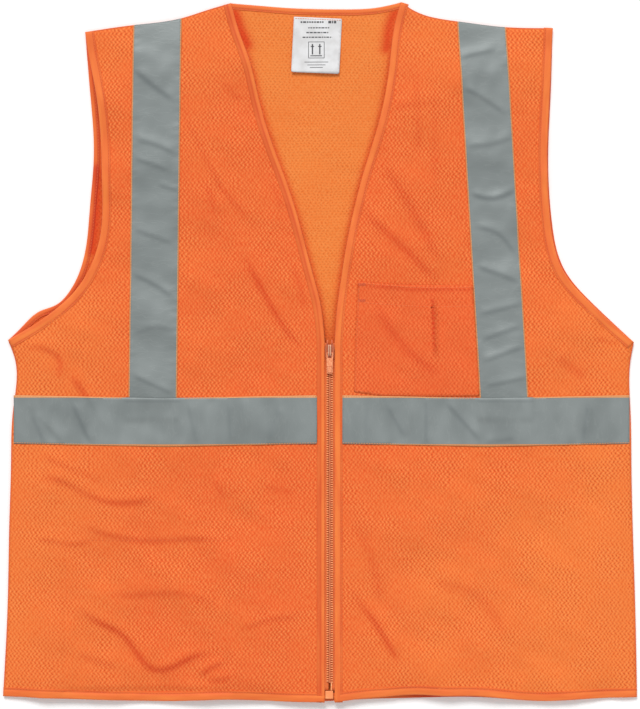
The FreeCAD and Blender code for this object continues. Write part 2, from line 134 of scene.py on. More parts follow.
def two_edges(right, left):
    """The matching edges of both sides, each from a first point through the middle ones to a last point."""
    return {side: spline([first] + mid + [last]) for side,
            (first, mid, last) in (("right", right), ("left", left))}


FOOT_R, FOOT_L = ZIP_X - PLACKET_GAP, ZIP_X + PLACKET_GAP
SHOULDER = two_edges((NECK_R, SHOULDER_MID_R, POINT_R), (NECK_L, SHOULDER_MID_L, POINT_L))
NECK = spline([NECK_R] + NECK_DIP + [NECK_L])
ARM = two_edges((POINT_R, ARM_MID_R, TIP_R), (POINT_L, ARM_MID_L, TIP_L))
ARM_FRONT = two_edges((POINT_R, ARM_FRONT_MID_R, TIP_R), (POINT_L, ARM_FRONT_MID_L, TIP_L))
SIDE = two_edges((TIP_R, SIDE_MID_R, CORNER_R), (TIP_L, SIDE_MID_L, CORNER_L))
HEM = spline([CORNER_R] + HEM_MID + [CORNER_L])
HEM_FRONT = two_edges((CORNER_R, HEM_MID[:4], (FOOT_R, HEM_Y)), ((FOOT_L, HEM_Y), HEM_LIFT, CORNER_L))
V_EDGE = two_edges((NECK_R, V_MID_R, (FOOT_R, V_FOOT_Y)), (NECK_L, V_MID_L, (FOOT_L, V_FOOT_Y)))
OPENING = {k: np.vstack([v, [(v[-1][0], HEM_Y)]]) for k, v in V_EDGE.items()}
OPENING = {k: resample(v, 4.0) for k, v in OPENING.items()}
ZIP_LINE = np.array([(ZIP_X, 22.0), (ZIP_X, HEM_Y)])


# ---------------------------------------------------------------- relief
def away(points, line):
    """Distance in the plane from each point to a broken line."""
    best = np.full(len(points), 1e9)
    for (ax, ay), (bx, by) in zip(line[:-1], line[1:]):
        dx, dy = bx - ax, by - ay
        t = ((points[:, 0] - ax) * dx + (points[:, 1] - ay) * dy) / (dx * dx + dy * dy)
        t = np.clip(t, 0, 1)
        d = np.hypot(points[:, 0] - ax - t * dx, points[:, 1] - ay - t * dy)
        best = np.minimum(best, d)
    return best


def bell(x, width):
    """1 at 0, dying away over about the width to either side."""
    return np.exp(-(x / width) ** 2)


def ease(t):
    t = np.clip(t, 0, 1)
    return t * t * (3 - 2 * t)


def rolled(t):
    """From 0 at a turned edge, steep at first, to 1 on the flat."""
    t = np.clip(t, 0, 1)
    return (1 - (1 - t) ** 2.3) ** (1 / 2.3)


INNER_SEAM = np.array([INNER_POCKET[0], INNER_POCKET[3], INNER_POCKET[2], INNER_POCKET[1]])


def waves(points, size, seed, count=9):
    """Smooth seeded ripples of about the given wavelength, near -1 to 1."""
    rng = np.random.default_rng(seed)
    total = np.zeros(len(points))
    for _ in range(count):
        turn, k = rng.uniform(0, math.tau), math.tau / (size * rng.uniform(0.7, 1.4))
        phase = rng.uniform(0, math.tau)
        total += np.sin(k * (points[:, 0] * math.cos(turn) + points[:, 1] * math.sin(turn)) + phase)
    return total / math.sqrt(count)


EDGES = {k: resample(v, 26.0) for k, v in {
    "side_r": SIDE["right"], "side_l": SIDE["left"],
    "shoulder_r": SHOULDER["right"], "shoulder_l": SHOULDER["left"],
    "arm_r": ARM_FRONT["right"], "arm_l": ARM_FRONT["left"],
    "v_r": V_EDGE["right"], "v_l": V_EDGE["left"], "hem": HEM, "neck": NECK}.items()}

# Creases in the front: the line, how far it stands up, and its width. The cloth falls off steeply on the
# right-hand side of the direction of travel, and gets painted shade there.
CREASES = [
    # below the waist tape, right side
    ([(-294, -104), (-256, -121), (-220, -135)], 1.0, 5.0),
    ([(-296, -126), (-268, -133), (-245, -145), (-221, -154), (-201, -155), (-166, -149)], 2.0, 5.5),
    ([(-254, -175), (-229, -186), (-205, -192), (-170, -195), (-138, -193), (-95, -195)], 1.3, 5.0),
    ([(-301, -195), (-284, -195), (-264, -199), (-236, -196)], 1.5, 4.0),
    ([(-231, -249), (-189, -251), (-146, -249), (-123, -255), (-99, -267)], 1.0, 6.0),
    ([(-254, -261), (-233, -278), (-213, -288), (-198, -300), (-184, -320), (-173, -329), (-158, -328),
      (-138, -318), (-119, -313), (-103, -316)], 2.4, 5.5),
    ([(-126, -339), (-115, -328), (-99, -323)], 1.8, 4.0),
    ([(-118, -343), (-92, -338)], 1.2, 4.0),
    ([(-254, -312), (-209, -328)], 0.8, 6.0),
    ([(-86, -288), (-64, -281), (-44, -276), (-19, -276)], 1.0, 4.5),
    ([(-109, -131), (-97, -153)], 0.9, 5.0),
    ([(-60, -137), (-25, -145)], 0.7, 6.0),
    # under the right arm
    ([(-318, 5), (-293, 7), (-269, -8), (-273, -32)], 1.8, 5.0),
    ([(-261, -18), (-241, -46), (-218, -88)], 2.2, 6.0),
    ([(-310, -50), (-285, -75), (-264, -97)], 1.6, 5.0),
    # right chest, running down to the zip
    ([(-144, 263), (-131, 231), (-116, 202), (-98, 169), (-80, 149), (-66, 131)], 1.1, 4.5),
    ([(-118, 181), (-105, 142)], 1.0, 5.0),
    ([(-77, 103), (-66, 82), (-52, 56), (-37, 31), (-24, 14), (-8, 1)], 2.0, 5.5),
    ([(-27, 95), (-16, 60), (-12, 39)], 1.2, 5.0),
    ([(-48, 181), (-37, 149)], 0.9, 5.0),
    ([(-101, 285), (-80, 263)], 0.9, 5.0),
    # left chest and pocket
    ([(44, 152), (84, 117), (128, 74)], 1.6, 7.0),
    ([(66, 204), (101, 149), (131, 92)], 1.2, 8.0),
    ([(104, 298), (107, 201)], 1.0, 6.0),
    ([(122, 285), (124, 168)], 1.0, 6.0),
    ([(72, 258), (134, 266)], 1.0, 6.0),
    ([(118, 66), (121, -8)], 8.0, 1.4),
    ([(59, 57), (92, 7), (134, -25)], 1.2, 8.0),
    # under the left arm
    ([(285, 17), (310, 13), (325, 17)], 1.2, 4.0),
    ([(283, -35), (277, -88)], 1.4, 5.0),
    ([(248, 0), (282, -25)], 1.0, 8.0),
    # below the waist tape, left side
    ([(24, -240), (52, -270), (88, -328)], 2.2, 6.0),
    ([(34, -168), (59, -218), (67, -268)], 1.0, 8.0),
    ([(109, -235), (168, -251), (201, -302)], 0.8, 10.0),
]
# short creases across the waist tape
BELT_CREASES = [
    ([(113, -45), (113, -102)], 1.3, 3.5),
    ([(131, -49), (171, -94)], 1.3, 4.0),
    ([(171, -94), (206, -88)], 1.0, 4.0),
    ([(-94, -50), (-91, -97)], 0.9, 3.5),
    ([(-137, -50), (-125, -101)], 0.8, 3.5),
    ([(52, -49), (49, -101)], 0.8, 3.5),
    ([(-300, -62), (-284, -100)], 1.1, 4.0),
    ([(-258, -50), (-236, -98)], 1.6, 4.5),
    ([(283, -50), (277, -98)], 1.6, 4.5),
    ([(70, -52), (92, -90)], 1.0, 4.0),
    ([(-40, -55), (-52, -96)], 0.9, 4.0),
]
# short creases across the vertical tapes, from their left edge to their right
TAPE_CREASES = {
    "right": [
        ([(-196, 300), (-174, 281), (-148, 262)], 1.5, 5.0),
        ([(-196, 224), (-171, 218), (-146, 206)], 1.2, 4.0),
        ([(-196, 204), (-167, 194), (-154, 189)], 0.9, 3.0),
        ([(-198, 131), (-150, 114)], 1.0, 4.0),
        ([(-198, 84), (-176, 74), (-150, 57)], 1.2, 4.0),
        ([(-198, 20), (-172, 27), (-150, 24)], 0.8, 4.0),
        ([(-198, -22), (-149, -44)], 1.1, 3.5),
        ([(-170, 176), (-146, 169)], 0.9, 3.0),
    ],
    "left": [
        ([(142, 308), (186, 318)], 1.0, 4.0),
        ([(148, 278), (168, 268), (198, 248)], 1.3, 4.0),
        ([(150, 216), (181, 219), (206, 228)], 1.1, 4.0),
        ([(155, 168), (181, 162), (208, 174)], 1.9, 4.0),
        ([(160, 132), (186, 126), (208, 99)], 1.3, 4.0),
        ([(162, 92), (211, 74)], 1.3, 4.0),
        ([(164, 40), (214, 52)], 1.3, 4.0),
        ([(166, 13), (214, 30)], 1.1, 3.5),
        ([(167, -10), (216, 8)], 1.2, 3.5),
        ([(170, -35), (219, -25)], 1.1, 3.5),
    ],
}


def crease_and_shade(p, line, width):
    """How much a crease lifts each point, and the painted shade on its steep side."""
    line = spline(line, 9.0) if len(line) > 2 else np.array(line, float)
    rise, shade = np.zeros(len(p)), np.zeros(len(p))
    reach = 5.5 * width
    near = np.all((p > line.min(0) - reach) & (p < line.max(0) + reach), axis=1)
    q = p[near]
    if not len(q):
        return rise, shade
    runs = np.r_[0, np.cumsum(np.hypot(*np.diff(line, axis=0).T))]
    best, side, along_it = np.full(len(q), 1e9), np.zeros(len(q)), np.zeros(len(q))
    for i, ((ax, ay), (bx, by)) in enumerate(zip(line[:-1], line[1:])):
        dx, dy = bx - ax, by - ay
        t = np.clip(((q[:, 0] - ax) * dx + (q[:, 1] - ay) * dy) / (dx * dx + dy * dy), 0, 1)
        d = np.hypot(q[:, 0] - ax - t * dx, q[:, 1] - ay - t * dy)
        closer = d < best
        turn = dx * (q[:, 1] - ay) - dy * (q[:, 0] - ax)
        best[closer], side[closer] = d[closer], turn[closer]
        along_it[closer] = ((runs[i] + t * (runs[i + 1] - runs[i])) / runs[-1])[closer]
    ends = ease(4.5 * np.minimum(along_it, 1 - along_it))
    rise[near] = bell(best, np.where(side > 0, 2.3 * width, width)) * ends
    # painted shade: beside the steep side, which turns from the light, and a little on the crown
    shade[near] = bell(best - 0.8 * width, 1.1 * width) * (side < 0) * ends
    shade[near] += bell(best, width) * 0.3 * (side >= 0) * ends
    return rise, shade


def creases(p, table):
    """Height of all the creases together, and the painted shade on their steep sides."""
    total, deep = np.zeros(len(p)), np.zeros(len(p))
    for line, height, width in table:
        rise, shade = crease_and_shade(p, line, 0.62 * width)
        total += 0.62 * height * rise
        deep = np.maximum(deep, shade * min(1.0, height / 3.0))
    return total, deep


def seam_reach(p):
    side = np.minimum(away(p, EDGES["side_r"]), away(p, EDGES["side_l"]))
    top = np.minimum(away(p, EDGES["shoulder_r"]), away(p, EDGES["shoulder_l"]))
    return side, top


def loft_at(p):
    """Where the front may swell: nothing at the sewn edges and along the zip."""
    side, top = seam_reach(p)
    calm = ease((away(p, ZIP_LINE) - 12) / 40)
    folds = np.minimum(away(p, np.array(FOLD_R)), away(p, np.array(FOLD_L)))
    return ease(side / 46) * ease(top / 40) * calm * (0.6 + 0.4 * ease(folds / 40)), calm


def front_z(p):
    """Height of the middle of the front cloth."""
    side, top = seam_reach(p)
    rise = (1 - (1 - np.clip(side / 60, 0, 1)) ** 1.8) * (1 - (1 - np.clip(top / 70, 0, 1)) ** 1.6)
    loft, calm = loft_at(p)
    bumps = 1.4 * waves(p, 165, 4) + 0.7 * waves(p, 62, 11) + 0.24 * waves(p, 25, 23)
    bumps = bumps + creases(p, CREASES)[0]
    seam = away(p, INNER_SEAM)
    bumps = bumps - 0.7 * bell(seam, 2.4) + 0.5 * bell(seam - 6, 4)
    arm = np.minimum(away(p, EDGES["arm_r"]), away(p, EDGES["arm_l"]))
    neck = np.minimum(away(p, EDGES["v_r"]), away(p, EDGES["v_l"]))
    hem = away(p, EDGES["hem"])
    dip = 3.0 * bell(arm, 20) + 3.0 * bell(neck, 22) * calm
    ripple = 2.6 + 1.1 * np.sin(p[:, 0] / 15.0 + 0.9 * np.sin(p[:, 0] / 41.0))
    lifted = bell(p[:, 0] - 138.0, 46.0)
    dip = dip + (ripple * (1 - lifted) - 0.8 * lifted) * bell(hem, 16) * calm
    z = SEAM_LEVEL + (FRONT_LEVEL - SEAM_LEVEL) * rise + bumps * loft
    return z - dip * ease(side / 30) * ease(top / 26)


def front_marks(p):
    """Painted shade on the steep sides of the creases, and how yellow the cloth is there."""
    deep = 0.75 * creases(p, CREASES)[1] * loft_at(p)[0]
    side, top = seam_reach(p)
    tone = 0.75 * bell(side, 120) + 0.5 * bell(top, 90)
    tone = tone + 0.55 * ease((p[:, 0] + 40) / 160) * ease((-p[:, 1] - 60) / 200) + 0.07 * waves(p, 90, 61)
    return {"crease_and_shade": deep, "tone": np.clip(tone, 0, 1)}


def back_z(p):
    """Height of the middle of the back cloth, which lies on the table."""
    side, top = seam_reach(p)
    near = rolled(np.minimum(side, top) / 12)
    z = BACK_LEVEL + 0.55 * (1 + waves(p, 120, 31)) * 0.8 + 0.14 * waves(p, 30, 37)
    return SEAM_LEVEL - 0.6 + (np.maximum(z, BACK_LEVEL - 0.1) - SEAM_LEVEL + 0.6) * near


# ---------------------------------------------------------------- mesh making
def inside(points, ring):
    odd = np.zeros(len(points), bool)
    for (ax, ay), (bx, by) in zip(ring, np.roll(ring, -1, axis=0)):
        if ay == by:
            continue
        across = (points[:, 1] > ay) != (points[:, 1] > by)
        odd ^= across & (points[:, 0] < (bx - ax) * (points[:, 1] - ay) / (by - ay) + ax)
    return odd


def fill(ring, step):
    """Triangles that fill a closed outline with points about a step apart."""
    ring = np.asarray(ring, float)
    loop = resample(np.vstack([ring, ring[:1]]), step)[:-1]
    low, high = loop.min(0), loop.max(0)
    rows = []
    for i, y in enumerate(np.arange(low[1] + step / 2, high[1], step * 0.87)):
        xs = np.arange(low[0] + step * (0.25 + 0.5 * (i % 2)), high[0], step)
        rows.append(np.c_[xs, np.full(len(xs), y)])
    inner = np.vstack(rows)
    inner = inner[inside(inner, loop)]
    inner = inner[away(inner, np.vstack([loop, loop[:1]])) > 0.5 * step]
    n = len(loop)
    made = geometry.delaunay_2d_cdt(
        [Vector(q) for q in np.vstack([loop, inner])], [(i, (i + 1) % n) for i in range(n)], [], 1, 1e-4)
    verts = np.array([tuple(q) for q in made[0]])
    faces = np.array([tuple(q) for q in made[2] if len(q) == 3])
    a, b, c = (verts[faces[:, i]] for i in range(3))
    turn = (b[:, 0] - a[:, 0]) * (c[:, 1] - a[:, 1]) - (b[:, 1] - a[:, 1]) * (c[:, 0] - a[:, 0])
    faces[turn < 0] = faces[turn < 0][:, ::-1]
    return verts, faces, float(np.abs(turn).sum() / 2)


def outward(verts, faces):
    """The faces of a closed solid, turned so that they all look out."""
    total = 0.0
    for f in faces:
        a = verts[f[0]]
        for i in range(1, len(f) - 1):
            b, c = verts[f[i]], verts[f[i + 1]]
            total += (a[0] * (b[1] * c[2] - b[2] * c[1]) + a[1] * (b[2] * c[0] - b[0] * c[2])
                      + a[2] * (b[0] * c[1] - b[1] * c[0]))
    return faces if total > 0 else [tuple(f)[::-1] for f in faces]


def place(name, data):
    """A new object in the scene that shows this data."""
    obj = bpy.data.objects.new(name, data)
    bpy.context.scene.collection.objects.link(obj)
    return obj


def build(name, verts, faces, uv, material, smooth=True, marks=None):
    """A mesh object from millimetre points, with flat coordinates kept in a UV map."""
    mesh = bpy.data.meshes.new(name)
    faces = outward(np.asarray(verts).tolist(), faces)
    mesh.from_pydata([tuple(q) for q in np.asarray(verts) * MM], [],
                     [tuple(int(i) for i in f) for f in faces])
    layer = mesh.uv_layers.new(name="flat")
    corners = np.empty(len(mesh.loops), np.int32)
    mesh.loops.foreach_get("vertex_index", corners)
    layer.data.foreach_set("uv", (np.asarray(uv)[corners] * MM).astype(np.float32).ravel())
    mesh.materials.append(material)
    if smooth:
        mesh.polygons.foreach_set("use_smooth", np.ones(len(mesh.polygons), bool))
    for key, values in (marks or {}).items():
        mesh.attributes.new(key, "FLOAT", "POINT").data.foreach_set("value", values.astype(np.float32))
    mesh.validate()
    obj = place(name, mesh)
    return obj


def cloth(name, ring, step, height, lift, thick, material, uv=None, marks=None):
    """A thin closed sheet that fills an outline and follows a height function."""
    flat, faces, area = fill(ring, step)
    z = height(flat) + lift
    n = len(flat)
    verts = np.vstack([np.c_[flat, z + thick / 2], np.c_[flat, z - thick / 2]])
    sides = dict.fromkeys((f[i], f[(i + 1) % 3]) for f in faces for i in range(3))
    walls = [(a, a + n, b + n, b) for a, b in sides if (b, a) not in sides]
    every = [tuple(f) for f in faces] + [tuple(f[::-1] + n) for f in faces] + walls
    flat_uv = flat if uv is None else uv(flat)
    made = {key: np.tile(values, 2) for key, values in (marks(flat) if marks else {}).items()}
    obj = build(name, verts, every, np.vstack([flat_uv, flat_uv]), material, marks=made)
    ring = np.asarray(ring, float)
    return obj


def normals(line):
    d = np.gradient(line, axis=0)
    d /= np.hypot(d[:, 0], d[:, 1])[:, None]
    return np.c_[-d[:, 1], d[:, 0]]


def strip(name, line, profile, height, material, slot, sign=1, pucker=0.0, seed=1, deep=None,
          groove=STITCH_IN):
    """A closed profile swept along an edge: profile is (distance in from the edge, height)."""
    line = resample(line, 3.0)
    nrm = normals(line) * sign
    run = np.r_[0, np.cumsum(np.hypot(*np.diff(line, axis=0).T))]
    rng = np.random.default_rng(seed)
    wob = np.convolve(rng.normal(0, 1, len(line) + 6), np.ones(7) / 7, "valid") * pucker
    profile = np.asarray(profile, float)
    k = len(profile)
    flat = (line[:, None] + nrm[:, None] * profile[None, :, :1]).reshape(-1, 2)
    side = np.repeat(wob, k) * np.tile(profile[:, 0] / profile[:, 0].max(), len(line))
    z = height(flat) + np.tile(profile[:, 1], len(line)) + side
    verts = np.c_[flat, z]
    faces = []
    for i in range(len(line) - 1):
        for j in range(k):
            a, b = i * k + j, i * k + (j + 1) % k
            faces.append((a, b, b + k, a + k) if sign > 0 else (a, a + k, b + k, b))
    last = (len(line) - 1) * k
    cap = tuple(range(k))
    faces.append(cap[::-1] if sign > 0 else cap)
    faces.append(tuple(last + i for i in (cap if sign > 0 else cap[::-1])))
    uv = np.c_[np.tile(profile[:, 0], len(line)), np.repeat(run, k)]
    inner = profile[:, 0].max()
    seam = bell(profile[:, 0] - inner + groove, 0.2 + 0.25 * groove) + bell(profile[:, 0] - inner, 0.4)
    marks = {"seam": np.tile(np.clip(seam, 0, 1), len(line))}
    # painted shade on the upper face of the binding, from the given function
    if deep:
        marks["crease_and_shade"] = deep(flat) * np.tile(profile[:, 1] > -0.2, len(line))
    return build(name, verts, faces, uv, material, marks=marks)


def folded(width, thick=1.9, groove=STITCH_IN, floor=0.5):
    """Section of a folded binding: round outer edge, a stitched groove near the inner one."""
    h, w = thick / 2, width
    crown = min(w * 0.45, w - groove - 1.8)
    top = [(0.0, 0.0), (0.18, 0.45), (0.7, 0.82), (1.6, 1.0), (crown, 1.0), (w - groove - 1.2, 1.0),
           (w - groove - 0.35, floor + 0.05), (w - groove + 0.3, floor), (w - groove + 0.85, 0.95),
           (w - 0.3, 0.9), (w, 0.35)]
    low = [(u, -v) for u, v in top[::-1] if (u, v) != (0.0, 0.0)]
    return [(u, v * h) for u, v in top + low]


def roll(radius, inset):
    """Round section centred a little inside a seam's edge."""
    return [(inset + radius * math.cos(a), 0.85 * radius * math.sin(a)) for a in np.linspace(0, math.tau,
                                                                                             11)[:-1]][::-1]


def stitches(name, rows, material, length=2.3, pitch=3.1, radius=0.27):
    """Rows of separate sewn stitches. A row is (line, height function, lift)."""
    verts, faces, uvs = [], [], []
    rings = [(-0.5, 0.35, -0.5), (-0.36, 0.85, -0.1), (-0.12, 1.0, 0.2), (0.12, 1.0, 0.2), (0.36, 0.85, -0.1),
             (0.5, 0.35, -0.5)]
    for line, height, lift in rows:
        line = resample(line, pitch)
        mid = (line[1:] + line[:-1]) / 2
        way = line[1:] - line[:-1]
        way /= np.hypot(way[:, 0], way[:, 1])[:, None]
        for share, fat, up in rings:
            spot = mid + way * share * length
            z = height(spot) + lift + up * radius
            for j in range(6):
                a = math.tau * j / 6
                out = spot + np.c_[-way[:, 1], way[:, 0]] * math.cos(a) * radius * fat
                verts.append(np.c_[out, z + math.sin(a) * radius * fat])
        uvs.append(mid)
    packed, base = [], 0
    for r, mid in enumerate(uvs):
        n = len(mid)
        block = np.stack(verts[r * 36:(r + 1) * 36], axis=1)
        packed.append(block.reshape(-1, 3))
        for s in range(n):
            o = base + s * 36
            for i in range(5):
                for j in range(6):
                    a, b = o + i * 6 + j, o + i * 6 + (j + 1) % 6
                    faces.append((a, b, b + 6, a + 6))
            faces.append(tuple(o + j for j in range(6))[::-1])
            faces.append(tuple(o + 30 + j for j in range(6)))
        base += n * 36
    everything = np.vstack(packed)
    return build(name, everything, faces, everything[:, :2], material)


# ---------------------------------------------------------------- materials
class Shade:
    """A material's node tree, with short calls that make and join nodes."""

    def __init__(self, name):
        self.m = bpy.data.materials.new(name)
        self.m.use_nodes = True
        self.t = self.m.node_tree
        self.out = self.t.nodes["Material Output"]
        self.bsdf = self.t.nodes["Principled BSDF"]
        self.uv = self.node("ShaderNodeUVMap")
        self.uv.uv_map = "flat"

    def node(self, kind, **inputs):
        n = self.t.nodes.new(kind)
        for k, v in inputs.items():
            self.put(n.inputs[k.replace("_", " ")], v)
        return n

    def put(self, socket, v):
        if isinstance(v, bpy.types.NodeSocket):
            self.t.links.new(v, socket)
        else:
            socket.default_value = v

    def math(self, op, a, b=0.0, c=0.0):
        n = self.t.nodes.new("ShaderNodeMath")
        n.operation = op
        for s, v in zip(n.inputs, (a, b, c)):
            self.put(s, v)
        return n.outputs[0]

    def mul(self, a, b):
        return self.math("MULTIPLY", a, b)

    def add(self, a, b):
        return self.math("ADD", a, b)

    def less(self, a, b):
        return self.math("SUBTRACT", a, b)

    def mad(self, a, b, c):
        return self.math("MULTIPLY_ADD", a, b, c)

    def scaled(self, size, source=None):
        n = self.t.nodes.new("ShaderNodeVectorMath")
        n.operation = "MULTIPLY"
        self.put(n.inputs[0], source or self.uv.outputs[0])
        n.inputs[1].default_value = size if hasattr(size, "__len__") else (size,) * 3
        return n.outputs[0]

    def noise(self, size, detail=2.0, rough=0.5, source=None):
        """Noise whose features are about size millimetres (or a pair) across."""
        pair = size if hasattr(size, "__len__") else (size, size)
        v = self.scaled((1000.0 / pair[0], 1000.0 / pair[1], 1.0), source)
        n = self.node("ShaderNodeTexNoise", Vector=v, Scale=1.0, Detail=detail, Roughness=rough)
        return n.outputs["Fac"]

    def step(self, value, a, b, to_a=0.0, to_b=1.0):
        n = self.t.nodes.new("ShaderNodeMapRange")
        n.interpolation_type = "SMOOTHSTEP"
        for k, v in zip(("Value", "From Min", "From Max", "To Min", "To Max"), (value, a, b, to_a, to_b)):
            self.put(n.inputs[k], v)
        return n.outputs[0]

    def mix(self, fac, a, b, mode="MIX"):
        n = self.t.nodes.new("ShaderNodeMix")
        n.data_type = "RGBA"
        n.blend_type = mode
        self.put(n.inputs[0], fac)
        self.put(n.inputs[6], a)
        self.put(n.inputs[7], b)
        return n.outputs[2]

    def mark(self, name):
        """A number that the mesh carries at each point."""
        n = self.t.nodes.new("ShaderNodeAttribute")
        n.attribute_name = name
        return n.outputs["Fac"]

    def xy(self, source=None):
        n = self.node("ShaderNodeSeparateXYZ", Vector=source or self.scaled(1000.0))
        return n.outputs[0], n.outputs[1]

    def bump(self, height, distance, strength=1.0):
        n = self.node("ShaderNodeBump", Height=height, Distance=distance * MM, Strength=strength)
        self.put(self.bsdf.inputs["Normal"], n.outputs[0])

    def set(self, **inputs):
        for k, v in inputs.items():
            self.put(self.bsdf.inputs[k.replace("_", " ")], v)
        return self


def rgb(r, g, b):
    """An sRGB colour, 0 to 255, as a linear one."""
    lin = [(c / 255 / 12.92) if c <= 10 else ((c / 255 + 0.055) / 1.055) ** 2.4 for c in (r, g, b)]
    return (*lin, 1.0)


def knit(name, base, bright, dark, warm, see_through=0.35, px=4.4, py=5.9, contrast=1.0, ribbed=False):
    """Knitted mesh: upright loops, lightened by a painted highlight, in staggered rows, with narrow open
    slits between them that carry painted shade.
    """
    s = Shade(name)
    x, y = s.xy()
    lean = s.math("SINE", s.mul(y, math.tau / py))
    strokes = s.step(s.noise((1.3, 5.5), 2.0, 0.6), 0.32, 0.68)
    x = s.mad(lean, 0.55, x)
    x = s.mad(s.less(s.noise(17.0, 2.0), 0.5), 5.0, x)
    y = s.mad(s.less(s.noise(21.0, 2.0), 0.5), 5.0, y)
    cx = s.math("COSINE", s.mul(x, math.tau / px))
    cy = s.math("COSINE", s.mul(y, math.tau / py))
    uneven = s.mul(s.less(s.noise(2.2, 2.0, 0.6), 0.5), 1.5)
    lattice = s.add(s.mul(cx, cy), uneven)
    column = s.mul(cx, cx)
    relief = s.step(s.noise(34.0, 2.0), 0.32, 0.68, 0.45, 1.0)
    loop = s.mul(s.step(lattice, -0.1, 1.0), s.step(column, 0.05, 0.8))
    loop = s.mul(loop, relief)
    hole = s.mul(s.step(lattice, -0.1, -1.0), s.step(column, 0.2, 0.95))
    hole = s.mul(hole, relief)
    yarn = s.math("SINE", s.mul(s.add(x, s.mul(y, 0.25)), math.tau / 0.62))
    height = s.less(s.add(loop, s.mul(yarn, 0.08)), hole)
    if ribbed:
        rib = s.math("SINE", s.mul(y, math.tau / 2.95))
        height = s.add(height, s.mul(rib, 0.35))
    patch = s.step(s.noise(60.0, 3.0, 0.5), 0.34, 0.66)
    tone = s.add(s.mark("tone"), s.mul(patch, 0.14))
    ground = s.mix(tone, base, warm)
    # painted highlight on the raised loops
    colour = s.mix(s.mul(loop, 0.9 * contrast), ground, s.mix(0.5, ground, bright))
    # painted shade in the open slits, standing for the shaded layer beneath
    colour = s.mix(s.mul(hole, contrast), colour, dark)
    # faint upright strokes lightened towards the painted highlight colour
    colour = s.mix(s.mul(strokes, 0.16), colour, bright)
    # painted shade in the creases and in the gaps under other pieces
    colour = s.mix(s.mark("crease_and_shade"), colour, s.mix(0.9, colour, rgb(232, 122, 96), "MULTIPLY"))
    s.set(Base_Color=colour, Roughness=s.mad(loop, -0.1, 0.82), Specular_IOR_Level=0.25,
          Sheen_Weight=0.15, Sheen_Roughness=0.45)
    s.bsdf.inputs["Sheen Tint"].default_value = bright
    s.set(Alpha=s.less(1.0, s.mul(hole, see_through)))
    s.bump(height, 0.3, 0.4)
    return s.m


def binding_material(name, light, shade, along=0.9):
    """Folded woven tape: fine twill, a slight pull along its length and dark stitched edges."""
    s = Shade(name)
    u, v = s.xy()
    twill = s.math("SINE", s.mul(s.add(u, v), math.tau / along))
    cross = s.math("SINE", s.mul(s.less(u, v), math.tau / along))
    weave = s.mad(s.mul(twill, cross), 0.5, 0.5)
    pull = s.noise((3.0, 26.0), 2.0)
    tone = s.step(s.noise((9.0, 60.0), 3.0), 0.3, 0.7)
    colour = s.mix(tone, shade, light)
    colour = s.mix(s.mul(weave, 0.14), colour, shade)
    colour = s.mix(s.mark("seam"), colour, s.mix(0.6, colour, rgb(214, 124, 100), "MULTIPLY"))
    # painted shade where a binding lies in a gap under the front or under the lifted front hem
    colour = s.mix(s.mark("crease_and_shade"), colour, s.mix(0.85, colour, rgb(222, 116, 96), "MULTIPLY"))
    s.set(Base_Color=colour, Roughness=s.mad(tone, 0.12, 0.6), Specular_IOR_Level=0.3,
          Sheen_Weight=0.2, Sheen_Roughness=0.4)
    s.bump(s.add(s.mul(weave, 0.25), pull), 0.3, 0.6)
    return s.m


def tape_material(name):
    """Glass bead reflective tape: grey, fine grain and handling creases across it, with painted shade in the
    creases.
    """
    s = Shade(name)
    u, v = s.xy()
    grain = s.noise(0.9, 2.0, 0.7)
    cloud = s.step(s.noise((60.0, 34.0), 2.0, 0.5), 0.32, 0.68)
    crackle = s.step(s.math("ABSOLUTE", s.less(s.noise((30.0, 9.0), 2.0, 0.5), 0.5)), 0.0, 0.02, 1.0, 0.0)
    pleat = s.noise((22.0, 7.5), 2.0, 0.55)
    colour = s.mix(cloud, rgb(122, 129, 128), rgb(134, 141, 140))
    colour = s.mix(s.mul(grain, 0.18), colour, rgb(96, 104, 106))
    colour = s.mix(s.mul(crackle, 0.10), colour, rgb(158, 164, 161))
    # painted shade on the steep sides of the tape's creases
    colour = s.mix(s.mul(s.mark("crease_and_shade"), 0.6), colour, rgb(96, 104, 106))
    edge = s.step(s.math("ABSOLUTE", u), TAPE_W / 2 - 1.5, TAPE_W / 2 - 0.8)
    edge = s.mul(edge, s.less(1.0, s.mark("plain")))
    colour = s.mix(s.mul(edge, 0.85), colour, rgb(222, 150, 84))
    rough = s.mad(grain, 0.2, 0.42)
    s.set(Base_Color=colour, Roughness=rough, Metallic=0.1, Specular_IOR_Level=0.5, Coat_Weight=0.05,
          Coat_Roughness=0.4)
    height = s.add(s.mul(crackle, 0.15), s.mul(pleat, 0.45))
    height = s.add(height, s.mul(grain, 0.05))
    s.bump(height, 0.5, 0.6)
    return s.m


def plastic_material(name, colour, worn, rough=0.42, metal=0.0, coat=0.15):
    """Moulded or enamelled small parts, with fine grain and wear."""
    s = Shade(name)
    obj = s.node("ShaderNodeTexCoord").outputs["Object"]
    mottled = s.noise(1.6, 3.0, 0.6, obj)
    scratch = s.noise((0.35, 3.0), 2.0, 0.6, obj)
    geo = s.node("ShaderNodeNewGeometry").outputs["Pointiness"]
    edge = s.step(geo, 0.52, STITCH_LIFT)
    wear = s.mul(edge, s.step(mottled, 0.35, 0.6))
    base = s.mix(s.mul(mottled, 0.3), colour, worn)
    base = s.mix(wear, base, worn)
    # painted shade where a part carries it: the middle of the zip, where the two rows of elements meet
    base = s.mix(s.mark("crease_and_shade"), base, s.mix(0.6, base, rgb(196, 130, 100), "MULTIPLY"))
    s.set(Base_Color=base, Roughness=s.mad(scratch, 0.2, rough - 0.1),
          Metallic=s.mad(wear, 0.5 * (metal > 0), metal), Coat_Weight=coat, Coat_Roughness=0.25)
    s.bump(scratch, 0.05, 0.4)
    return s.m


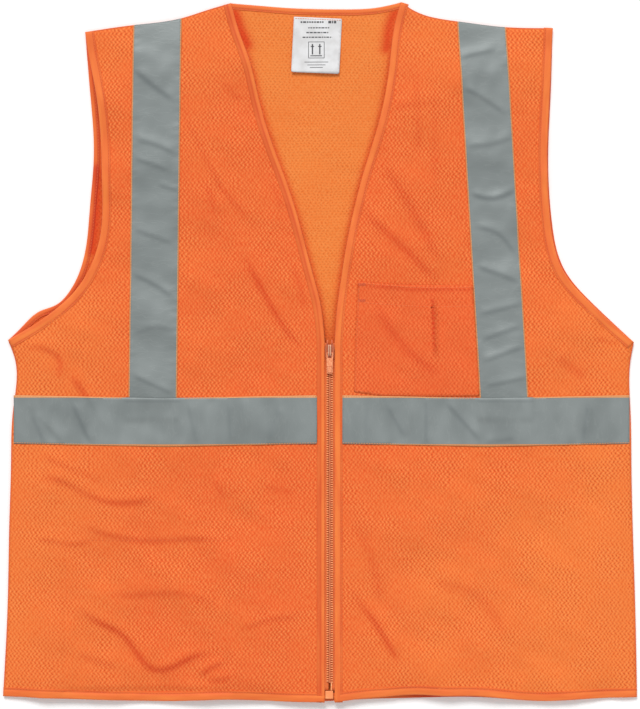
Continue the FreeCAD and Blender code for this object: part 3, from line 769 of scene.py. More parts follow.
def thread_material(name, colour, dark):
    s = Shade(name)
    obj = s.node("ShaderNodeTexCoord").outputs["Object"]
    twist = s.noise((0.5, 0.5), 2.0, 0.6, obj)
    s.set(Base_Color=s.mix(twist, dark, colour), Roughness=0.55, Sheen_Weight=0.2, Sheen_Roughness=0.4)
    s.bump(twist, 0.08, 0.6)
    return s.m


def satin_material(name, colour, shade):
    s = Shade(name)
    u, v = s.xy()
    warp = s.math("SINE", s.mul(u, math.tau / 0.55))
    weft = s.math("SINE", s.mul(v, math.tau / 0.9))
    weave = s.add(s.mul(warp, 0.5), s.mul(weft, 0.3))
    cloud = s.step(s.noise(14.0, 2.0), 0.3, 0.7)
    s.set(Base_Color=s.mix(cloud, shade, colour), Roughness=0.42, Specular_IOR_Level=0.5, Sheen_Weight=0.3,
          Sheen_Roughness=0.3)
    s.bump(s.add(s.mul(weave, 0.2), s.noise(9.0, 2.0)), 0.2, 0.5)
    return s.m


# the second and third colours are the painted highlight of the loops and the painted shade of the slits
KNIT_FRONT = knit("mesh_knit_front", rgb(228, 90, 37), rgb(255, 172, 98), rgb(204, 72, 26), rgb(232, 112, 46),
                  0.12)
KNIT_BACK = knit("mesh_knit_back", rgb(230, 114, 44), rgb(255, 180, 104), rgb(208, 92, 36), rgb(232, 122, 50),
                 0.1, contrast=0.5, ribbed=True)
KNIT_POCKET = knit("mesh_knit_pocket", rgb(226, 88, 38), rgb(255, 158, 92), rgb(200, 70, 26),
                   rgb(228, 98, 42), 0.1, contrast=0.8)
BINDING = binding_material("edge_binding", rgb(240, 128, 58), rgb(230, 106, 46))
REFLECTIVE = tape_material("reflective_tape")
ZIP_WEAVE = binding_material("zip_tape_weave", rgb(230, 120, 60), rgb(212, 98, 46), 0.7)
COIL = plastic_material("zip_coil", rgb(244, 138, 76), rgb(255, 176, 118), 0.42)
STOP = plastic_material("zip_stop", rgb(206, 92, 48), rgb(222, 112, 66), 0.45)
SHELL = plastic_material("slider_shell_enamel", rgb(176, 80, 42), rgb(226, 138, 94), 0.4, 0.0, 0.1)
ENAMEL = plastic_material("slider_enamel", rgb(220, 114, 66), rgb(246, 160, 112), 0.42, 0.0, 0.1)
# a dark colour for the painted shade round the pull tab's grip
GRIP_SHADE = plastic_material("grip_painted_shade", rgb(150, 70, 40), rgb(170, 86, 50), 0.6)
BARE = plastic_material("bare_metal", rgb(218, 170, 138), rgb(244, 206, 176), 0.5, 0.1, 0.0)
THREAD = thread_material("orange_thread", rgb(238, 126, 62), rgb(212, 90, 38))
THREAD_LIGHT = thread_material("light_orange_thread", rgb(250, 140, 76), rgb(232, 108, 54))
TACK = thread_material("bar_tack_thread", rgb(234, 104, 48), rgb(214, 84, 34))
THREAD_TAPE = thread_material("tape_thread", rgb(250, 176, 110), rgb(214, 128, 66))
SATIN = satin_material("label_satin", rgb(226, 226, 227), rgb(210, 209, 209))
PRINT = thread_material("label_print", rgb(80, 80, 84), rgb(52, 52, 56))


# ---------------------------------------------------------------- pieces
def fold_ends(fold, inward):
    """Where a front starts to turn and where it has fully turned, across its fold line."""
    (ax, ay), (bx, by) = fold
    size = math.hypot(bx - ax, by - ay)
    nx, ny = -(by - ay) / size * inward, (bx - ax) / size * inward
    mx, my = (ax + bx) / 2, (ay + by) / 2
    return (mx * MM, my * MM, 0.0), ((mx + nx * 17) * MM, (my + ny * 17) * MM, 0.0)


TURN = {"right": fold_ends(FOLD_R, 1), "left": fold_ends(FOLD_L, -1)}


def settle(obj, where, *nodes):
    """Give a piece to its body, or, for a front or the label, bake its place into its mesh; and hide what it
    replaces.
    """
    if where in TURN:
        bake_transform(obj)
    else:
        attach(obj, where)
    if nodes:
        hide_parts(*nodes)
    return obj


def inset(ring, amount):
    """The outline moved inwards a little, so that an edge lies inside its binding."""
    ring = np.asarray(ring, float)
    area = 0.5 * np.sum(ring[:, 0] * np.roll(ring[:, 1], -1) - np.roll(ring[:, 0], -1) * ring[:, 1])
    d = np.roll(ring, -1, axis=0) - np.roll(ring, 1, axis=0)
    d /= np.maximum(np.hypot(d[:, 0], d[:, 1]), 1e-9)[:, None]
    return ring + np.c_[-d[:, 1], d[:, 0]] * amount * (1 if area > 0 else -1)


def clean(ring):
    """Drop points that nearly repeat."""
    kept = [ring[0]]
    for q in ring[1:]:
        if math.hypot(q[0] - kept[-1][0], q[1] - kept[-1][1]) > 0.8:
            kept.append(q)
    return np.array(kept)


def ring_of(*lines):
    return clean(np.vstack(lines))


STEP = 3.1
BACK_RING = ring_of(NECK, SHOULDER["left"], ARM["left"], SIDE["left"], HEM[::-1], SIDE["right"][::-1],
                    ARM["right"][::-1], SHOULDER["right"][::-1][:-1])
FRONT_RING = {
    "right": ring_of(SHOULDER["right"], ARM_FRONT["right"], SIDE["right"], HEM_FRONT["right"],
                     OPENING["right"][::-1][:-1]),
    "left": ring_of(SHOULDER["left"], ARM_FRONT["left"], SIDE["left"], HEM_FRONT["left"][::-1],
                    OPENING["left"][::-1][:-1]),
}


def along(edge, distance, sign):
    """A line at a distance in from an edge."""
    return edge + normals(edge) * distance * sign


def plain_marks(p):
    return {"crease_and_shade": np.zeros(len(p)), "tone": np.clip(0.5 + 0.2 * waves(p, 90, 67), 0, 1)}


def shade_under_front(p):
    """Painted shade on the back in the gap beside an edge of the front, in the neck corners, the right
    armhole gap and at the foot of the V.
    """
    deep = np.zeros(len(p))
    for key, reach in (("v_r", 3.6), ("v_l", 3.6), ("arm_r", 5.0), ("arm_l", 4.0)):
        deep = np.maximum(deep, 0.7 * bell(away(p, EDGES[key]), reach))
    corner = bell(away(p, np.array([(-89.0, 356.0), (-83.0, 338.0), (-76.0, 322.0)])), 6.0)
    other = bell(away(p, np.array([(78.0, 355.0), (73.0, 341.0), (70.0, 318.0)])), 6.5)
    gap = bell(away(p, np.array([(-233.0, 192.0), (-233.0, 150.0), (-238.0, 105.0)])), 6.0)
    tip = bell(np.hypot(p[:, 0] - ZIP_X, p[:, 1] - 14.0), 17.0)
    return np.clip(np.max([deep, 1.1 * corner, 1.0 * other, 1.1 * gap, 0.45 * tip], axis=0), 0, 1)


def back_marks(p):
    marks = plain_marks(p)
    # painted shade in the gaps under the front's edges
    marks["crease_and_shade"] = shade_under_front(p)
    return marks


def shade_under_hem(p):
    # painted shade on the back hem, under the front's lifted hem and near the middle
    lifted = bell(p[:, 0] - 138.0, 52.0)
    middle = bell(p[:, 0] + 20.0, 26.0)
    return np.clip(1.3 * lifted + 0.8 * middle, 0, 1)


def tape_ring(side, top_line):
    """Outline of a vertical tape from the shoulder edge down to the middle of the waist tape."""
    top_x, low_x = TAPE_X[side]
    def middle(y):
        return top_x + (low_x - top_x) * (TAPE_TOP - y) / (TAPE_TOP - WAIST_Y)
    ring = []
    for sign in (-1, 1):
        ys = np.linspace(WAIST_Y + 18, TAPE_TOP, 60)
        pts = np.array([(middle(y) + sign * TAPE_W / 2, y) for y in ys])
        limit = edge_height(top_line, pts[:, 0])
        pts = pts[pts[:, 1] < limit]
        last = pts[-1, 0]
        ring.append(np.vstack([pts, [(last, edge_height(top_line, np.array([last]))[0])]]))
    xs = np.linspace(ring[0][-1, 0], ring[1][-1, 0], 14)[1:-1]
    cap = np.c_[xs, edge_height(top_line, xs)]
    return np.vstack([ring[0], cap, ring[1][::-1]]), middle


def edge_height(line, xs):
    order = np.argsort(line[:, 0])
    return np.interp(xs, line[order, 0], line[order, 1])


def waist_rows(x0, x1):
    """Top and bottom edges of the waist tape between two ends, sagging a little in the middle."""
    xs = np.linspace(x0, x1, 40)
    t = (xs - x0) / (x1 - x0)
    sag = 3.0 * np.abs(2 * t - 1)
    return np.c_[xs, WAIST_Y + TAPE_W / 2 + sag], np.c_[xs, WAIST_Y - TAPE_W / 2 + sag]


FRONT_TAPE_LIFT = CLOTH_T / 2 + FRONT_TAPE_T


def tape_height(side, seed):
    """The front under a vertical tape, with the tape's own creases and puckered edges."""
    top_x, low_x = TAPE_X[side]

    def height(p):
        u = p[:, 0] - (top_x + (low_x - top_x) * (TAPE_TOP - p[:, 1]) / (TAPE_TOP - WAIST_Y))
        lift = 1.25 * creases(p, TAPE_CREASES[side])[0]
        edge = bell(TAPE_W / 2 - np.abs(u), 7.0)
        slant = p.copy()
        slant[:, 1] = p[:, 1] * 4.0 - u * 0.9
        lift = lift + 0.22 * edge * waves(slant, 34, seed) + 0.3 * waves(slant, 120, seed + 1)
        return front_z(p) + np.maximum(lift, -0.3) * (1 - edge * 0.35) + 0.15
    return height


def crossing(p):
    """1 where the waist tape passes over the end of a vertical tape."""
    over = np.zeros(len(p))
    for x in (TAPE_X["right"][1], TAPE_X["left"][1]):
        over = np.maximum(over, ease((TAPE_W / 2 + 6 - np.abs(p[:, 0] - x)) / 5))
    return over


def belt_across(p):
    """How far up from the middle of the waist tape each point lies."""
    return p[:, 1] - WAIST_Y - 1.5


def belt_uv(p):
    return np.c_[belt_across(p), p[:, 0]]


def belt_marks(p):
    """Painted shade in the creases across the tape, and a darker line across it where it passes over the end
    of the vertical tape.
    """
    v = belt_across(p)
    held = crossing(p) * (v > 0)
    row = 0.5 * held * bell(v - TAPE_W / 2 + 5.0, 0.9)
    return {"crease_and_shade": np.maximum(creases(p, BELT_CREASES)[1], row), "plain": ease((held - 0.6) * 4)}


def belt_height(p):
    """The front under the waist tape, with the tape's own wrinkles running up and down."""
    v = belt_across(p)
    edge = bell(TAPE_W / 2 - np.abs(v), 7.0)
    slant = p.copy()
    slant[:, 0] = p[:, 0] * 3.2 - v * 0.8
    lift = 0.26 * edge * waves(slant, 34, 83) + 0.35 * waves(slant, 120, 84)
    lift = lift + 1.1 * creases(p, BELT_CREASES)[0]
    over = crossing(p) * ease((v + 3.0) / 8.0)
    return front_z(p) + np.maximum(lift, -0.25) * (1 - edge * 0.35) * (1 - over) + 0.1 + 0.95 * over


def beside_tape(row, side):
    """The two stretches of a row on either side of a vertical tape."""
    x = TAPE_X[side][1]
    return [row[row[:, 0] < x - TAPE_W / 2], row[row[:, 0] > x + TAPE_W / 2]]


def seam_z(p):
    return np.full(len(p), SEAM_LEVEL - 0.3)


def trim(name, line, section, height, sign, where, node, **more):
    """A binding along an edge, given to its body."""
    return settle(strip(name, line, section, height, BINDING, "binding", sign, **more), where, node)


def tape_sheet(name, ring, step, height, lift, thick, uv, marks, where, *nodes):
    """A piece of reflective tape, given to its body."""
    sheet = cloth(name, ring, step, height, lift, thick, REFLECTIVE, uv, marks)
    return settle(sheet, where, *nodes)


with_back, with_front = [], {"right": [], "left": []}

back = settle(cloth("back_cloth", inset(BACK_RING, 0.6), 4.2, back_z, 0.0, CLOTH_T, KNIT_BACK,
                    marks=back_marks), "back", "back_panel")
neck_band = trim("neck_binding", NECK, folded(BAND["neck"]), back_z, -1, "back", "back_neck_binding",
                 seed=3, pucker=0.2)
hem_band = trim("back_hem", HEM, folded(BAND["hem"]), back_z, 1, "back", "back_hem_binding",
                seed=4, pucker=0.25, deep=shade_under_hem)
with_back += [neck_band, hem_band]
back_rows = [(along(NECK, BAND["neck"] - STITCH_IN, -1), back_z, STITCH_LIFT),
             (along(HEM, BAND["hem"] - STITCH_IN, 1), back_z, STITCH_LIFT)]

for side, sign in (("right", 1), ("left", -1)):
    arm = trim("back_armhole_" + side, ARM[side], folded(BAND["back_arm"]), back_z, sign, "back",
               "back_armhole_binding_" + side, seed=5, pucker=0.25, deep=shade_under_front)
    with_back.append(arm)
    for seam, line, radius in (("side_seam_", SIDE[side], 1.15), ("shoulder_seam_", SHOULDER[side], 1.1)):
        with_back.append(trim(seam + "roll_" + side, line, roll(radius, 0.9), seam_z, sign, "back",
                              seam + side))
    back_rows.append((along(ARM[side], BAND["back_arm"] - STITCH_IN, sign), back_z, STITCH_LIFT))

# back tapes, on the outside of the back, which faces the table
BACK_TAPE_LIFT = -CLOTH_T / 2 - 0.22
top_row, low_row = waist_rows(-316.0, 316.5)
waist = tape_sheet("back_waist_band", np.vstack([low_row, top_row[::-1]]), 4.0, back_z, BACK_TAPE_LIFT,
                   BACK_TAPE_T, belt_uv, None, "back", "back_waist_tape")
with_back.append(waist)
under_rows = [(along(top_row, 1.5, -1), back_z, BACK_TAPE_LIFT - 0.2),
              (along(low_row, 1.5, 1), back_z, BACK_TAPE_LIFT - 0.2)]
for side, x in (("right", -172.0), ("left", 172.0)):
    ys = np.linspace(WAIST_Y + TAPE_W / 2 + 2, 400, 90)
    edges = []
    for sign in (-1, 1):
        line = np.c_[np.full(len(ys), x + sign * TAPE_W / 2), ys]
        edges.append(line[ys < edge_height(SHOULDER[side], line[:, 0]) - 1.0])
    piece = tape_sheet("back_band_" + side, np.vstack([edges[0], edges[1][::-1]]), 4.0, back_z,
                       BACK_TAPE_LIFT, BACK_TAPE_T, lambda p, x=x: np.c_[p[:, 0] - x, p[:, 1]], None, "back",
                       "back_tape_" + side)
    with_back.append(piece)
    under_rows += [(along(edges[0], 1.5, -1), back_z, BACK_TAPE_LIFT - 0.2),
                   (along(edges[1], 1.5, 1), back_z, BACK_TAPE_LIFT - 0.2)]
with_back.append(settle(stitches("back_binding_stitches", back_rows, THREAD), "back"))
with_back.append(settle(stitches("back_tape_stitches", under_rows, THREAD_TAPE), "back"))

for side, sign in (("right", 1), ("left", -1)):
    settle(
        cloth("front_cloth_" + side, inset(FRONT_RING[side], 0.6), STEP, front_z, 0.0, CLOTH_T, KNIT_FRONT,
              marks=front_marks), side, "front_side_" + side, "front_flap_" + side)
    mine = with_front[side]
    arm = trim("front_armhole_" + side, ARM_FRONT[side], folded(BAND["arm"]), front_z, sign, "back",
               "front_armhole_binding_" + side, seed=6, pucker=0.3)
    groove, floor = (3.9, 0.84) if side == "right" else (1.7, 0.5)
    placket = trim("placket_band_" + side, OPENING[side], folded(BAND["placket"], 1.9, groove, floor),
                   front_z, -sign, side, "placket_" + side, seed=7, pucker=0.1, groove=groove)
    hem_line = HEM_FRONT[side]
    hem = trim("front_hem_band_" + side, hem_line, folded(BAND["hem"]), front_z, 1, side, "front_hem_" + side,
               seed=8, pucker=0.3)
    mine += [placket, hem]
    with_back.append(arm)
    ring, middle = tape_ring(side, SHOULDER[side])
    tape_z = tape_height(side, 71 if side == "right" else 75)
    tape = tape_sheet("front_tape_" + side, ring, 2.2, tape_z, FRONT_TAPE_LIFT, FRONT_TAPE_T,
                      lambda p, middle=middle: np.c_[p[:, 0] - middle(p[:, 1]), p[:, 1]],
                      # painted shade on the steep sides of the tape's creases
                      lambda p, table=TAPE_CREASES[side]: {"crease_and_shade": creases(p, table)[1]},
                      side, "shoulder_tape_" + side, "chest_tape_" + side)
    if side == "right":
        top_row, low_row = waist_rows(-320.4, ZIP_X - PLACKET_GAP - BAND["placket"] + 0.4)
    else:
        top_row, low_row = waist_rows(ZIP_X + PLACKET_GAP + BAND["placket"] - 0.4, 324.4)
    belt = tape_sheet("front_waist_tape_" + side, np.vstack([low_row, top_row[::-1]]), 2.2, belt_height,
                      FRONT_TAPE_LIFT, FRONT_TAPE_T, belt_uv, belt_marks,
                      side, "waist_tape_side_" + side, "waist_tape_" + side)
    mine += [tape, belt]
    left_edge = np.array([q for q in ring if q[0] < middle(q[1]) - TAPE_W / 2 + 0.5])
    right_edge = np.array([q for q in ring if q[0] > middle(q[1]) + TAPE_W / 2 - 0.5])
    left_edge = left_edge[np.argsort(left_edge[:, 1])]
    right_edge = right_edge[np.argsort(right_edge[:, 1])]
    rows = [(along(left_edge, 1.0, -1), tape_z, FRONT_TAPE_LIFT + 0.24),
            (along(right_edge, 1.0, 1), tape_z, FRONT_TAPE_LIFT + 0.24),
            *[(part, belt_height, FRONT_TAPE_LIFT + 0.24) for part in beside_tape(along(top_row, 1.0, -1),
                                                                                  side)],
            (along(low_row, 1.0, 1), belt_height, FRONT_TAPE_LIFT + 0.24)]
    mine.append(settle(stitches("tape_stitches_" + side, rows, THREAD_TAPE, length=2.1, pitch=2.7,
                                radius=0.3), side))
    rows = [(along(OPENING[side], BAND["placket"] - STITCH_IN, -sign), front_z, STITCH_LIFT),
            (along(hem_line, BAND["hem"] - STITCH_IN, 1), front_z, STITCH_LIFT)]
    mine.append(settle(stitches("front_binding_stitches_" + side, rows, THREAD), side))
    arm_rows = [(along(ARM_FRONT[side], BAND["arm"] - STITCH_IN, sign), front_z, STITCH_LIFT)]
    with_back.append(settle(stitches("armhole_stitches_" + side, arm_rows, THREAD), "back"))


# chest pocket: a patch with a turned-down hem, sewn round three sides
def pocket_z(p):
    x0, x1, y0, y1 = 36.0, 166.0, -46.0, 70.0
    u, v = (p[:, 0] - x0) / (x1 - x0), (p[:, 1] - y0) / (y1 - y0)
    swell = np.clip(4 * u * (1 - u), 0, 1) ** 0.5 * np.clip(v * 1.4, 0, 1) ** 0.5
    firm = ease((v + 0.05) * 3)
    return front_z(p) + CLOTH_T / 2 + 0.1 + 0.3 * firm + 1.2 * swell + 0.2 * firm * waves(p, 34, 51)


def pocket_marks(p):
    marks = front_marks(p)
    # painted shade in the pocket's creases
    marks["crease_and_shade"] = np.maximum(marks["crease_and_shade"], creases(p, POCKET_CREASES)[1])
    return marks


POCKET_CREASES = [([(44, 71), (78, 68.5), (112, 67), (158, 67)], 1.4, 3.0),
                  ([(118, 66), (121, -8)], 8.0, 1.4), ([(59, 57), (92, 7), (134, -25)], 1.0, 7.0)]


def pocket_hem_z(p):
    """The turned hem stands up along the mouth and fades into the pocket at its lower edge."""
    mouth = away(p, top_line)
    return pocket_z(p) + 0.06 + 0.55 * bell(mouth, 3.0) - 0.2 * bell(mouth - HEM_D, 2.5)


def pocket_hem_marks(p):
    marks = pocket_marks(p)
    # a thin line of painted shadow just under the hem's standing top edge
    under = 0.35 * bell(away(p, top_line) - 3.2, 1.5)
    marks["crease_and_shade"] = np.maximum(marks["crease_and_shade"], under)
    return marks


patch = settle(cloth("chest_pocket_patch", POCKET, 3.0, pocket_z, 0.0, 0.45, KNIT_POCKET,
                     marks=pocket_marks),
               "left", "chest_pocket")
(ax, ay), (bx, by) = POCKET[0], POCKET[2]
HEM_D = 23.0
top_line = spline([POCKET[0], POCKET[1], (118.0, 68.6), POCKET[2]], 6.0)
hem_ring = np.vstack([top_line, top_line[::-1] + np.array([0.4, -HEM_D])])
pocket_hem = settle(cloth("chest_pocket_turned_hem", hem_ring, 3.0, pocket_hem_z, 0.0, 0.4, KNIT_POCKET,
                          marks=pocket_hem_marks), "left", "chest_pocket_hem")
left_side = resample(np.array([POCKET[0], POCKET[7], POCKET[6]]), 3.0)
rows = [(top_line + np.array([0.0, 1.8 - HEM_D]), pocket_z, 0.26),
        (top_line + np.array([0.0, -1.6]), pocket_hem_z, 0.22)]
settle(stitches("chest_pocket_hem_stitches", rows, THREAD_LIGHT), "left")
rows = [(left_side + np.array([1.8, 0.0]), pocket_z, 0.3),
        (np.array([(37.5, -40.2), (68.0, -44.2), (110.0, -45.4), (165.0, -44.6)]), pocket_z, 0.3)]
pocket_stitch = settle(stitches("chest_pocket_stitches", rows, THREAD), "left")
tack_rows = []
for ty in (ay - 3.0, ay - HEM_D + 3.2):
    for shift in np.arange(-1.2, 1.3, 0.4):
        tack_rows.append((np.array([(ax + 1.0, ty + shift), (ax + 8.0, ty + shift)]), pocket_hem_z, 0.36))
tacks = settle(stitches("pocket_bar_tack_threads", tack_rows, TACK, length=3.2, pitch=2.4, radius=0.2),
               "left", "chest_pocket_bar_tacks")


# inner pocket behind the right front
def inner_z(p):
    return front_z(p) - CLOTH_T / 2 - 0.55


inner = settle(cloth("inner_pocket_patch", INNER_POCKET, 4.4, inner_z, 0.0, 0.5, KNIT_POCKET,
                     marks=plain_marks),
               "right", "inner_pocket")
ring = np.array(INNER_POCKET)
inner_line = resample(np.vstack([ring[3:], ring[:3]]), 3.0)
inner_stitch = settle(stitches("inner_pocket_stitches", [(inner_line, front_z, 0.42)], THREAD, length=2.0,
                               pitch=3.6, radius=0.2), "right")

# label: a satin tag sewn along its top edge, with plain printed bars
def label_z(p):
    t = np.clip((351.0 - p[:, 1]) / 58.0, 0, 1)
    return 3.35 + 1.5 * t ** 1.6 + 0.5 * t * np.sin((p[:, 0] + 4) / 9.0)


TURN["label"] = ((-1.9 * MM, 349.0 * MM, 0.0), (-2.2 * MM, 342.0 * MM, 0.0))
tag = settle(cloth("label_tag", LABEL, 2.6, label_z, 0.0, 0.3, SATIN), "label", "neck_label")


def printed_bars():
    """Rows of plain short bars and an upright symbol of two posts in a frame, no lettering."""
    rng = np.random.default_rng(12)
    bars = []
    for row, (y, h, w0,
              w1) in enumerate(((345.5, 1.7, -20.0, 4.0), (345.5, 2.6, 9.0, 18.0), (339.5, 1.2, -12.0, 10.0),
                                         (334.5, 1.3, -14.0, 9.0), (329.6, 1.2, -18.0, 13.0))):
        x = w0
        while x < w1:
            w = rng.uniform(1.2, 3.4)
            bars.append((x, min(x + w, w1), y - h / 2, y + h / 2))
            x += w + 0.8
    fx0, fx1, fy0, fy1 = -12.0, 5.0, 307.5, 325.0
    bars += [(fx0, fx1, fy1 - 0.6, fy1), (fx0, fx1, fy0, fy0 + 0.6), (fx0, fx0 + 0.6, fy0, fy1),
             (fx1 - 0.6, fx1, fy0, fy1)]
    bars += [(-8.3, -6.9, 311.5, 322.5), (-0.6, 0.8, 311.5, 322.5), (-9.8, 2.4, 309.6, 310.6)]
    bars += [(-9.4, -5.8, 319.5, 320.5), (-1.7, 1.9, 319.5, 320.5)]
    for y in (303.5, 300.5, 297.8):
        bars.append((-16.0 + (303.5 - y), 9.0 - (303.5 - y), y - 0.3, y + 0.3))
    verts, faces = [], []
    for x0, x1, y0, y1 in bars:
        xs = np.linspace(x0, x1, max(2, int((x1 - x0) / 2) + 2))
        flat = np.array([(x, y) for x in xs for y in (y0, y1)])
        z = label_z(flat)
        n, base = len(flat), len(verts)
        for dz in (0.22, 0.1):
            verts += [(*q, h + dz) for q, h in zip(flat, z)]
        for i in range(len(xs) - 1):
            a = base + 2 * i
            faces += [(a, a + 2, a + 3, a + 1), (a + n, a + 1 + n, a + 3 + n, a + 2 + n),
                      (a, a + n, a + 2 + n, a + 2), (a + 1, a + 3, a + 3 + n, a + 1 + n)]
        e = base + n - 2
        faces += [(base, base + 1, base + 1 + n, base + n), (e, e + n, e + 1 + n, e + 1)]
    verts = np.array(verts)
    return build("label_printed_bars", verts, faces, verts[:, :2], PRINT, smooth=False)


marks = settle(printed_bars(), "label")
(lx, ly), (mx, my) = LABEL[0], LABEL[1]
sewn = settle(stitches("label_stitches", [(np.array([(lx + 1, ly - 1.6), (mx - 1, my - 1.6)]), label_z, 0.3)],
                       THREAD, length=2.0, pitch=2.6), "back")

# ---------------------------------------------------------------- zip
ZIP_Z = 7.85


def zip_tape_strip(side):
    sign = -1 if side == "right" else 1
    line = np.array([(ZIP_X + sign * 1.2, 9.5), (ZIP_X + sign * 1.2, -353.5)])
    cross = [(0, 0.25), (0.5, 0.34), (1.1, 0.26), (1.7, 0.34), (2.3, 0.26), (2.9, 0.34), (3.5, 0.26),
             (5, 0.26), (13.2, 0.24), (13.4, 0.0), (13.2, -0.24), (5, -0.26), (0.3, -0.26), (0, 0)]
    return strip("zip_woven_tape_" + side, line, cross, lambda p: np.full(len(p), ZIP_Z), ZIP_WEAVE,
                 "zip_tape", sign)


def zip_elements(side):
    """Wound elements that hook over the centre line, one beside the other."""
    sign = -1 if side == "right" else 1
    pitch, top, low = 2.4, 4.4, -345.0
    rings = [(3.35, 0.4, 0.45), (3.1, 0.78, 0.85), (2.3, 0.72, 0.92), (1.2, 0.5, 0.75), (0.2, 0.5, 0.7),
             (-0.45, 0.66, 0.75), (-0.85, 0.6, 0.6), (-1.0, 0.3, 0.3)]
    ys = np.arange(top - (0 if side == "right" else pitch / 2), low, -pitch)
    verts, faces, k = [], [], 10
    for y in ys:
        base = len(verts)
        for x, ry, rz in rings:
            for j in range(k):
                a = math.tau * j / k * (1 if sign > 0 else -1)
                verts.append((ZIP_X + sign * x, y + ry * math.cos(a),
                              8.85 + 0.12 * abs(x) + rz * math.sin(a)))
        for i in range(len(rings) - 1):
            for j in range(k):
                a, b = base + i * k + j, base + i * k + (j + 1) % k
                faces.append((a, b, b + k, a + k))
        faces.append(tuple(base + j for j in range(k))[::-1])
        faces.append(tuple(base + (len(rings) - 1) * k + j for j in range(k)))
    verts = np.array(verts)
    # painted shade along the middle, where the two rows meet
    middle = bell(verts[:, 0] - ZIP_X, 1.3)
    return build("zip_elements_" + side, verts, faces, verts[:, :2], COIL,
                 marks={"crease_and_shade": middle})


def softened(node, name, width, material, edit=None):
    """Copies of a CAD node's own shape with rounded edges; edit moves the points of each copy."""
    mesh = bpy.data.meshes.new(name)
    bm = bmesh.new()
    for change in edit or [None]:
        first = len(bm.verts)
        bm.from_mesh(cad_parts[node].data)
        bm.verts.ensure_lookup_table()
        for v in bm.verts[first:]:
            if change:
                v.co = Vector(change(*v.co))
    bmesh.ops.remove_doubles(bm, verts=bm.verts, dist=1e-7)
    bmesh.ops.dissolve_limit(bm, angle_limit=math.radians(2), verts=bm.verts, edges=bm.edges)
    sharp = [e for e in bm.edges if len(e.link_faces) == 2 and e.calc_face_angle(0) > math.radians(28)]
    bmesh.ops.bevel(bm, geom=sharp, offset=width * MM, segments=3, profile=0.6, affect="EDGES",
                    clamp_overlap=True)
    bmesh.ops.triangulate(bm, faces=[f for f in bm.faces if len(f.verts) > 4])
    bm.to_mesh(mesh)
    bm.free()
    mesh.polygons.foreach_set("use_smooth", np.ones(len(mesh.polygons), bool))
    mesh.materials.append(material)
    obj = place(name, mesh)
    return obj


CROWN_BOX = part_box("slider_bridge")
CROWN_LOW = CROWN_BOX[0][2]
CROWN_MID = (CROWN_BOX[0][1] + CROWN_BOX[1][1]) / 2


def crown_rail(x0, x1, squat=1.0):
    """Squeeze the bridge into a rail between two distances from the zip's centre line."""
    def change(x, y, z):
        share = (x / MM - ZIP_X + 0.9) / 1.8
        across = (ZIP_X + x0 + share * (x1 - x0)) * MM
        return across, CROWN_MID + (y - CROWN_MID) * 1.24, CROWN_LOW + (z - CROWN_LOW) * squat
    return change


for side in ("right", "left"):
    tape = settle(zip_tape_strip(side), "front_" + side, "zip_tape_" + side)
    coil = settle(zip_elements(side), "front_" + side, "zip_teeth_" + side)
    stop = settle(softened("zip_top_stop_" + side, "top_stop_" + side, 0.4, STOP),
                  "front_" + side, "zip_top_stop_" + side)
    with_front[side] += [tape, coil, stop]
for part, side in (("retaining_box", "right"), ("insertion_pin", "left")):
    settle(softened("zip_" + part, part, 0.35, COIL), "front_" + side, "zip_" + part)
settle(softened("slider_body", "slider_shell", 0.4, SHELL), "slider", "slider_body")
settle(softened("slider_bridge", "slider_crown", 0.2, BARE,
                [crown_rail(-1.38, -0.5), crown_rail(0.5, 1.38)]), "slider", "slider_bridge")
settle(softened("slider_bridge", "slider_crown_web", 0.15, SHELL,
                [crown_rail(-0.55, 0.55, 0.72)]), "slider")
settle(softened("pull_tab", "pull_tab_plate", 0.22, ENAMEL), "pull_tab", "pull_tab")


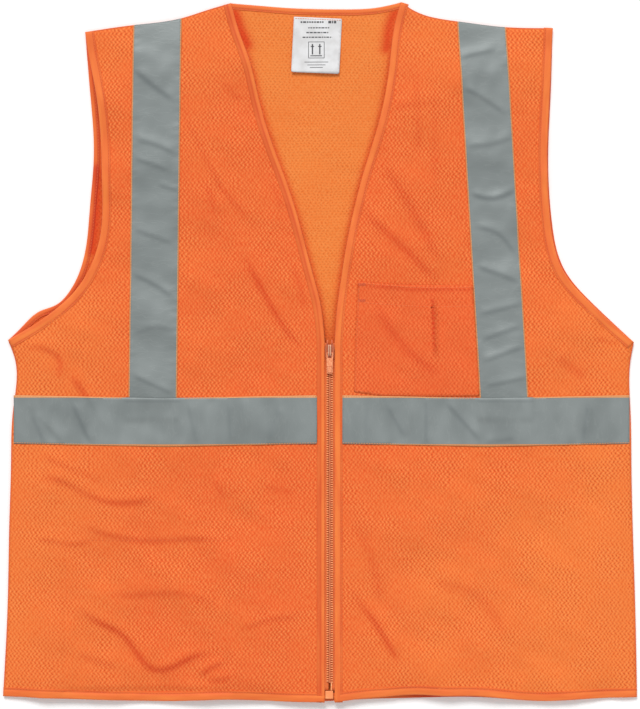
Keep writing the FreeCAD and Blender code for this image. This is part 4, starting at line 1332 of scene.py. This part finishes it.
def grip_shade_ring():
    """A thin dark ring of painted shade round the raised grip of the pull tab."""
    low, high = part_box("pull_tab")
    top = high[2] / MM - 0.4
    x0, x1 = ZIP_X - 2.15, ZIP_X + 2.15
    y0, y1 = low[1] / MM + 1.15, low[1] / MM + 7.65
    line = np.array([(x0, y0), (x1, y0), (x1, y1), (x0, y1), (x0, y0)])
    section = [(0.0, 0.02), (0.0, 0.09), (0.42, 0.09), (0.42, 0.02)]
    verts, faces = [], []
    for i in range(4):
        (ax, ay), (bx, by) = line[i], line[i + 1]
        way = np.array([bx - ax, by - ay]) / math.hypot(bx - ax, by - ay)
        inward = np.array([-way[1], way[0]])
        base = len(verts)
        for spot in (line[i], line[i + 1]):
            verts += [(*(spot + inward * u), top + v) for u, v in section]
        faces += [(base + j, base + (j + 1) % 4, base + 4 + (j + 1) % 4, base + 4 + j) for j in range(4)]
        faces += [(base + 3, base + 2, base + 1, base), (base + 4, base + 5, base + 6, base + 7)]
    verts = np.array(verts)
    return build("pull_tab_grip_groove", verts, faces, verts[:, :2], GRIP_SHADE, smooth=False)


settle(grip_shade_ring(), "pull_tab")


# ---------------------------------------------------------------- stage
floor_mesh = bpy.data.meshes.new("floor")
FLOOR_HALF, FLOOR_Z = 12, -0.0004
floor_corners = [(x * FLOOR_HALF, y * FLOOR_HALF, FLOOR_Z) for x, y in ((-1, -1), (1, -1), (1, 1), (-1, 1))]
floor_mesh.from_pydata(floor_corners, [], [(0, 1, 2, 3)])
floor = place("floor", floor_mesh)
paper = bpy.data.materials.new("floor_paper")
paper.use_nodes = True
shade = paper.node_tree.nodes["Principled BSDF"]
shade.inputs["Base Color"].default_value = (0.99, 0.99, 0.99, 1)
shade.inputs["Roughness"].default_value = 0.9
floor_mesh.materials.append(paper)

world = bpy.data.worlds.new("studio")
world.use_nodes = True
world.node_tree.nodes["Background"].inputs[0].default_value = (1, 1, 1, 1)
world.node_tree.nodes["Background"].inputs[1].default_value = 0.54
bpy.context.scene.world = world


def lamp(name, kind, energy, spot, **facts):
    """A light that looks at the middle of the vest."""
    data = bpy.data.lights.new(name, kind)
    data.energy = energy
    for k, v in facts.items():
        setattr(data, k, v)
    obj = place(name, data)
    obj.location = spot
    obj.rotation_euler = (-Vector(spot)).to_track_quat("-Z", "Y").to_euler()


lamp("key", "SUN", 2.2, (-0.3, 1.4, 1.4), angle=math.radians(24))
lamp("fill", "AREA", 6.0, (1.2, -0.8, 2.0), size=1.8)

CAMERA_HEIGHT = 2.066
camera_data = bpy.data.cameras.new("camera")
camera = place("camera", camera_data)
camera_data.lens = 100
camera_data.sensor_width = 36
camera_data.clip_end = 50
camera.location = (0.0003, -0.0026, CAMERA_HEIGHT)
bpy.context.scene.camera = camera
bpy.context.scene.view_settings.view_transform = "Standard"
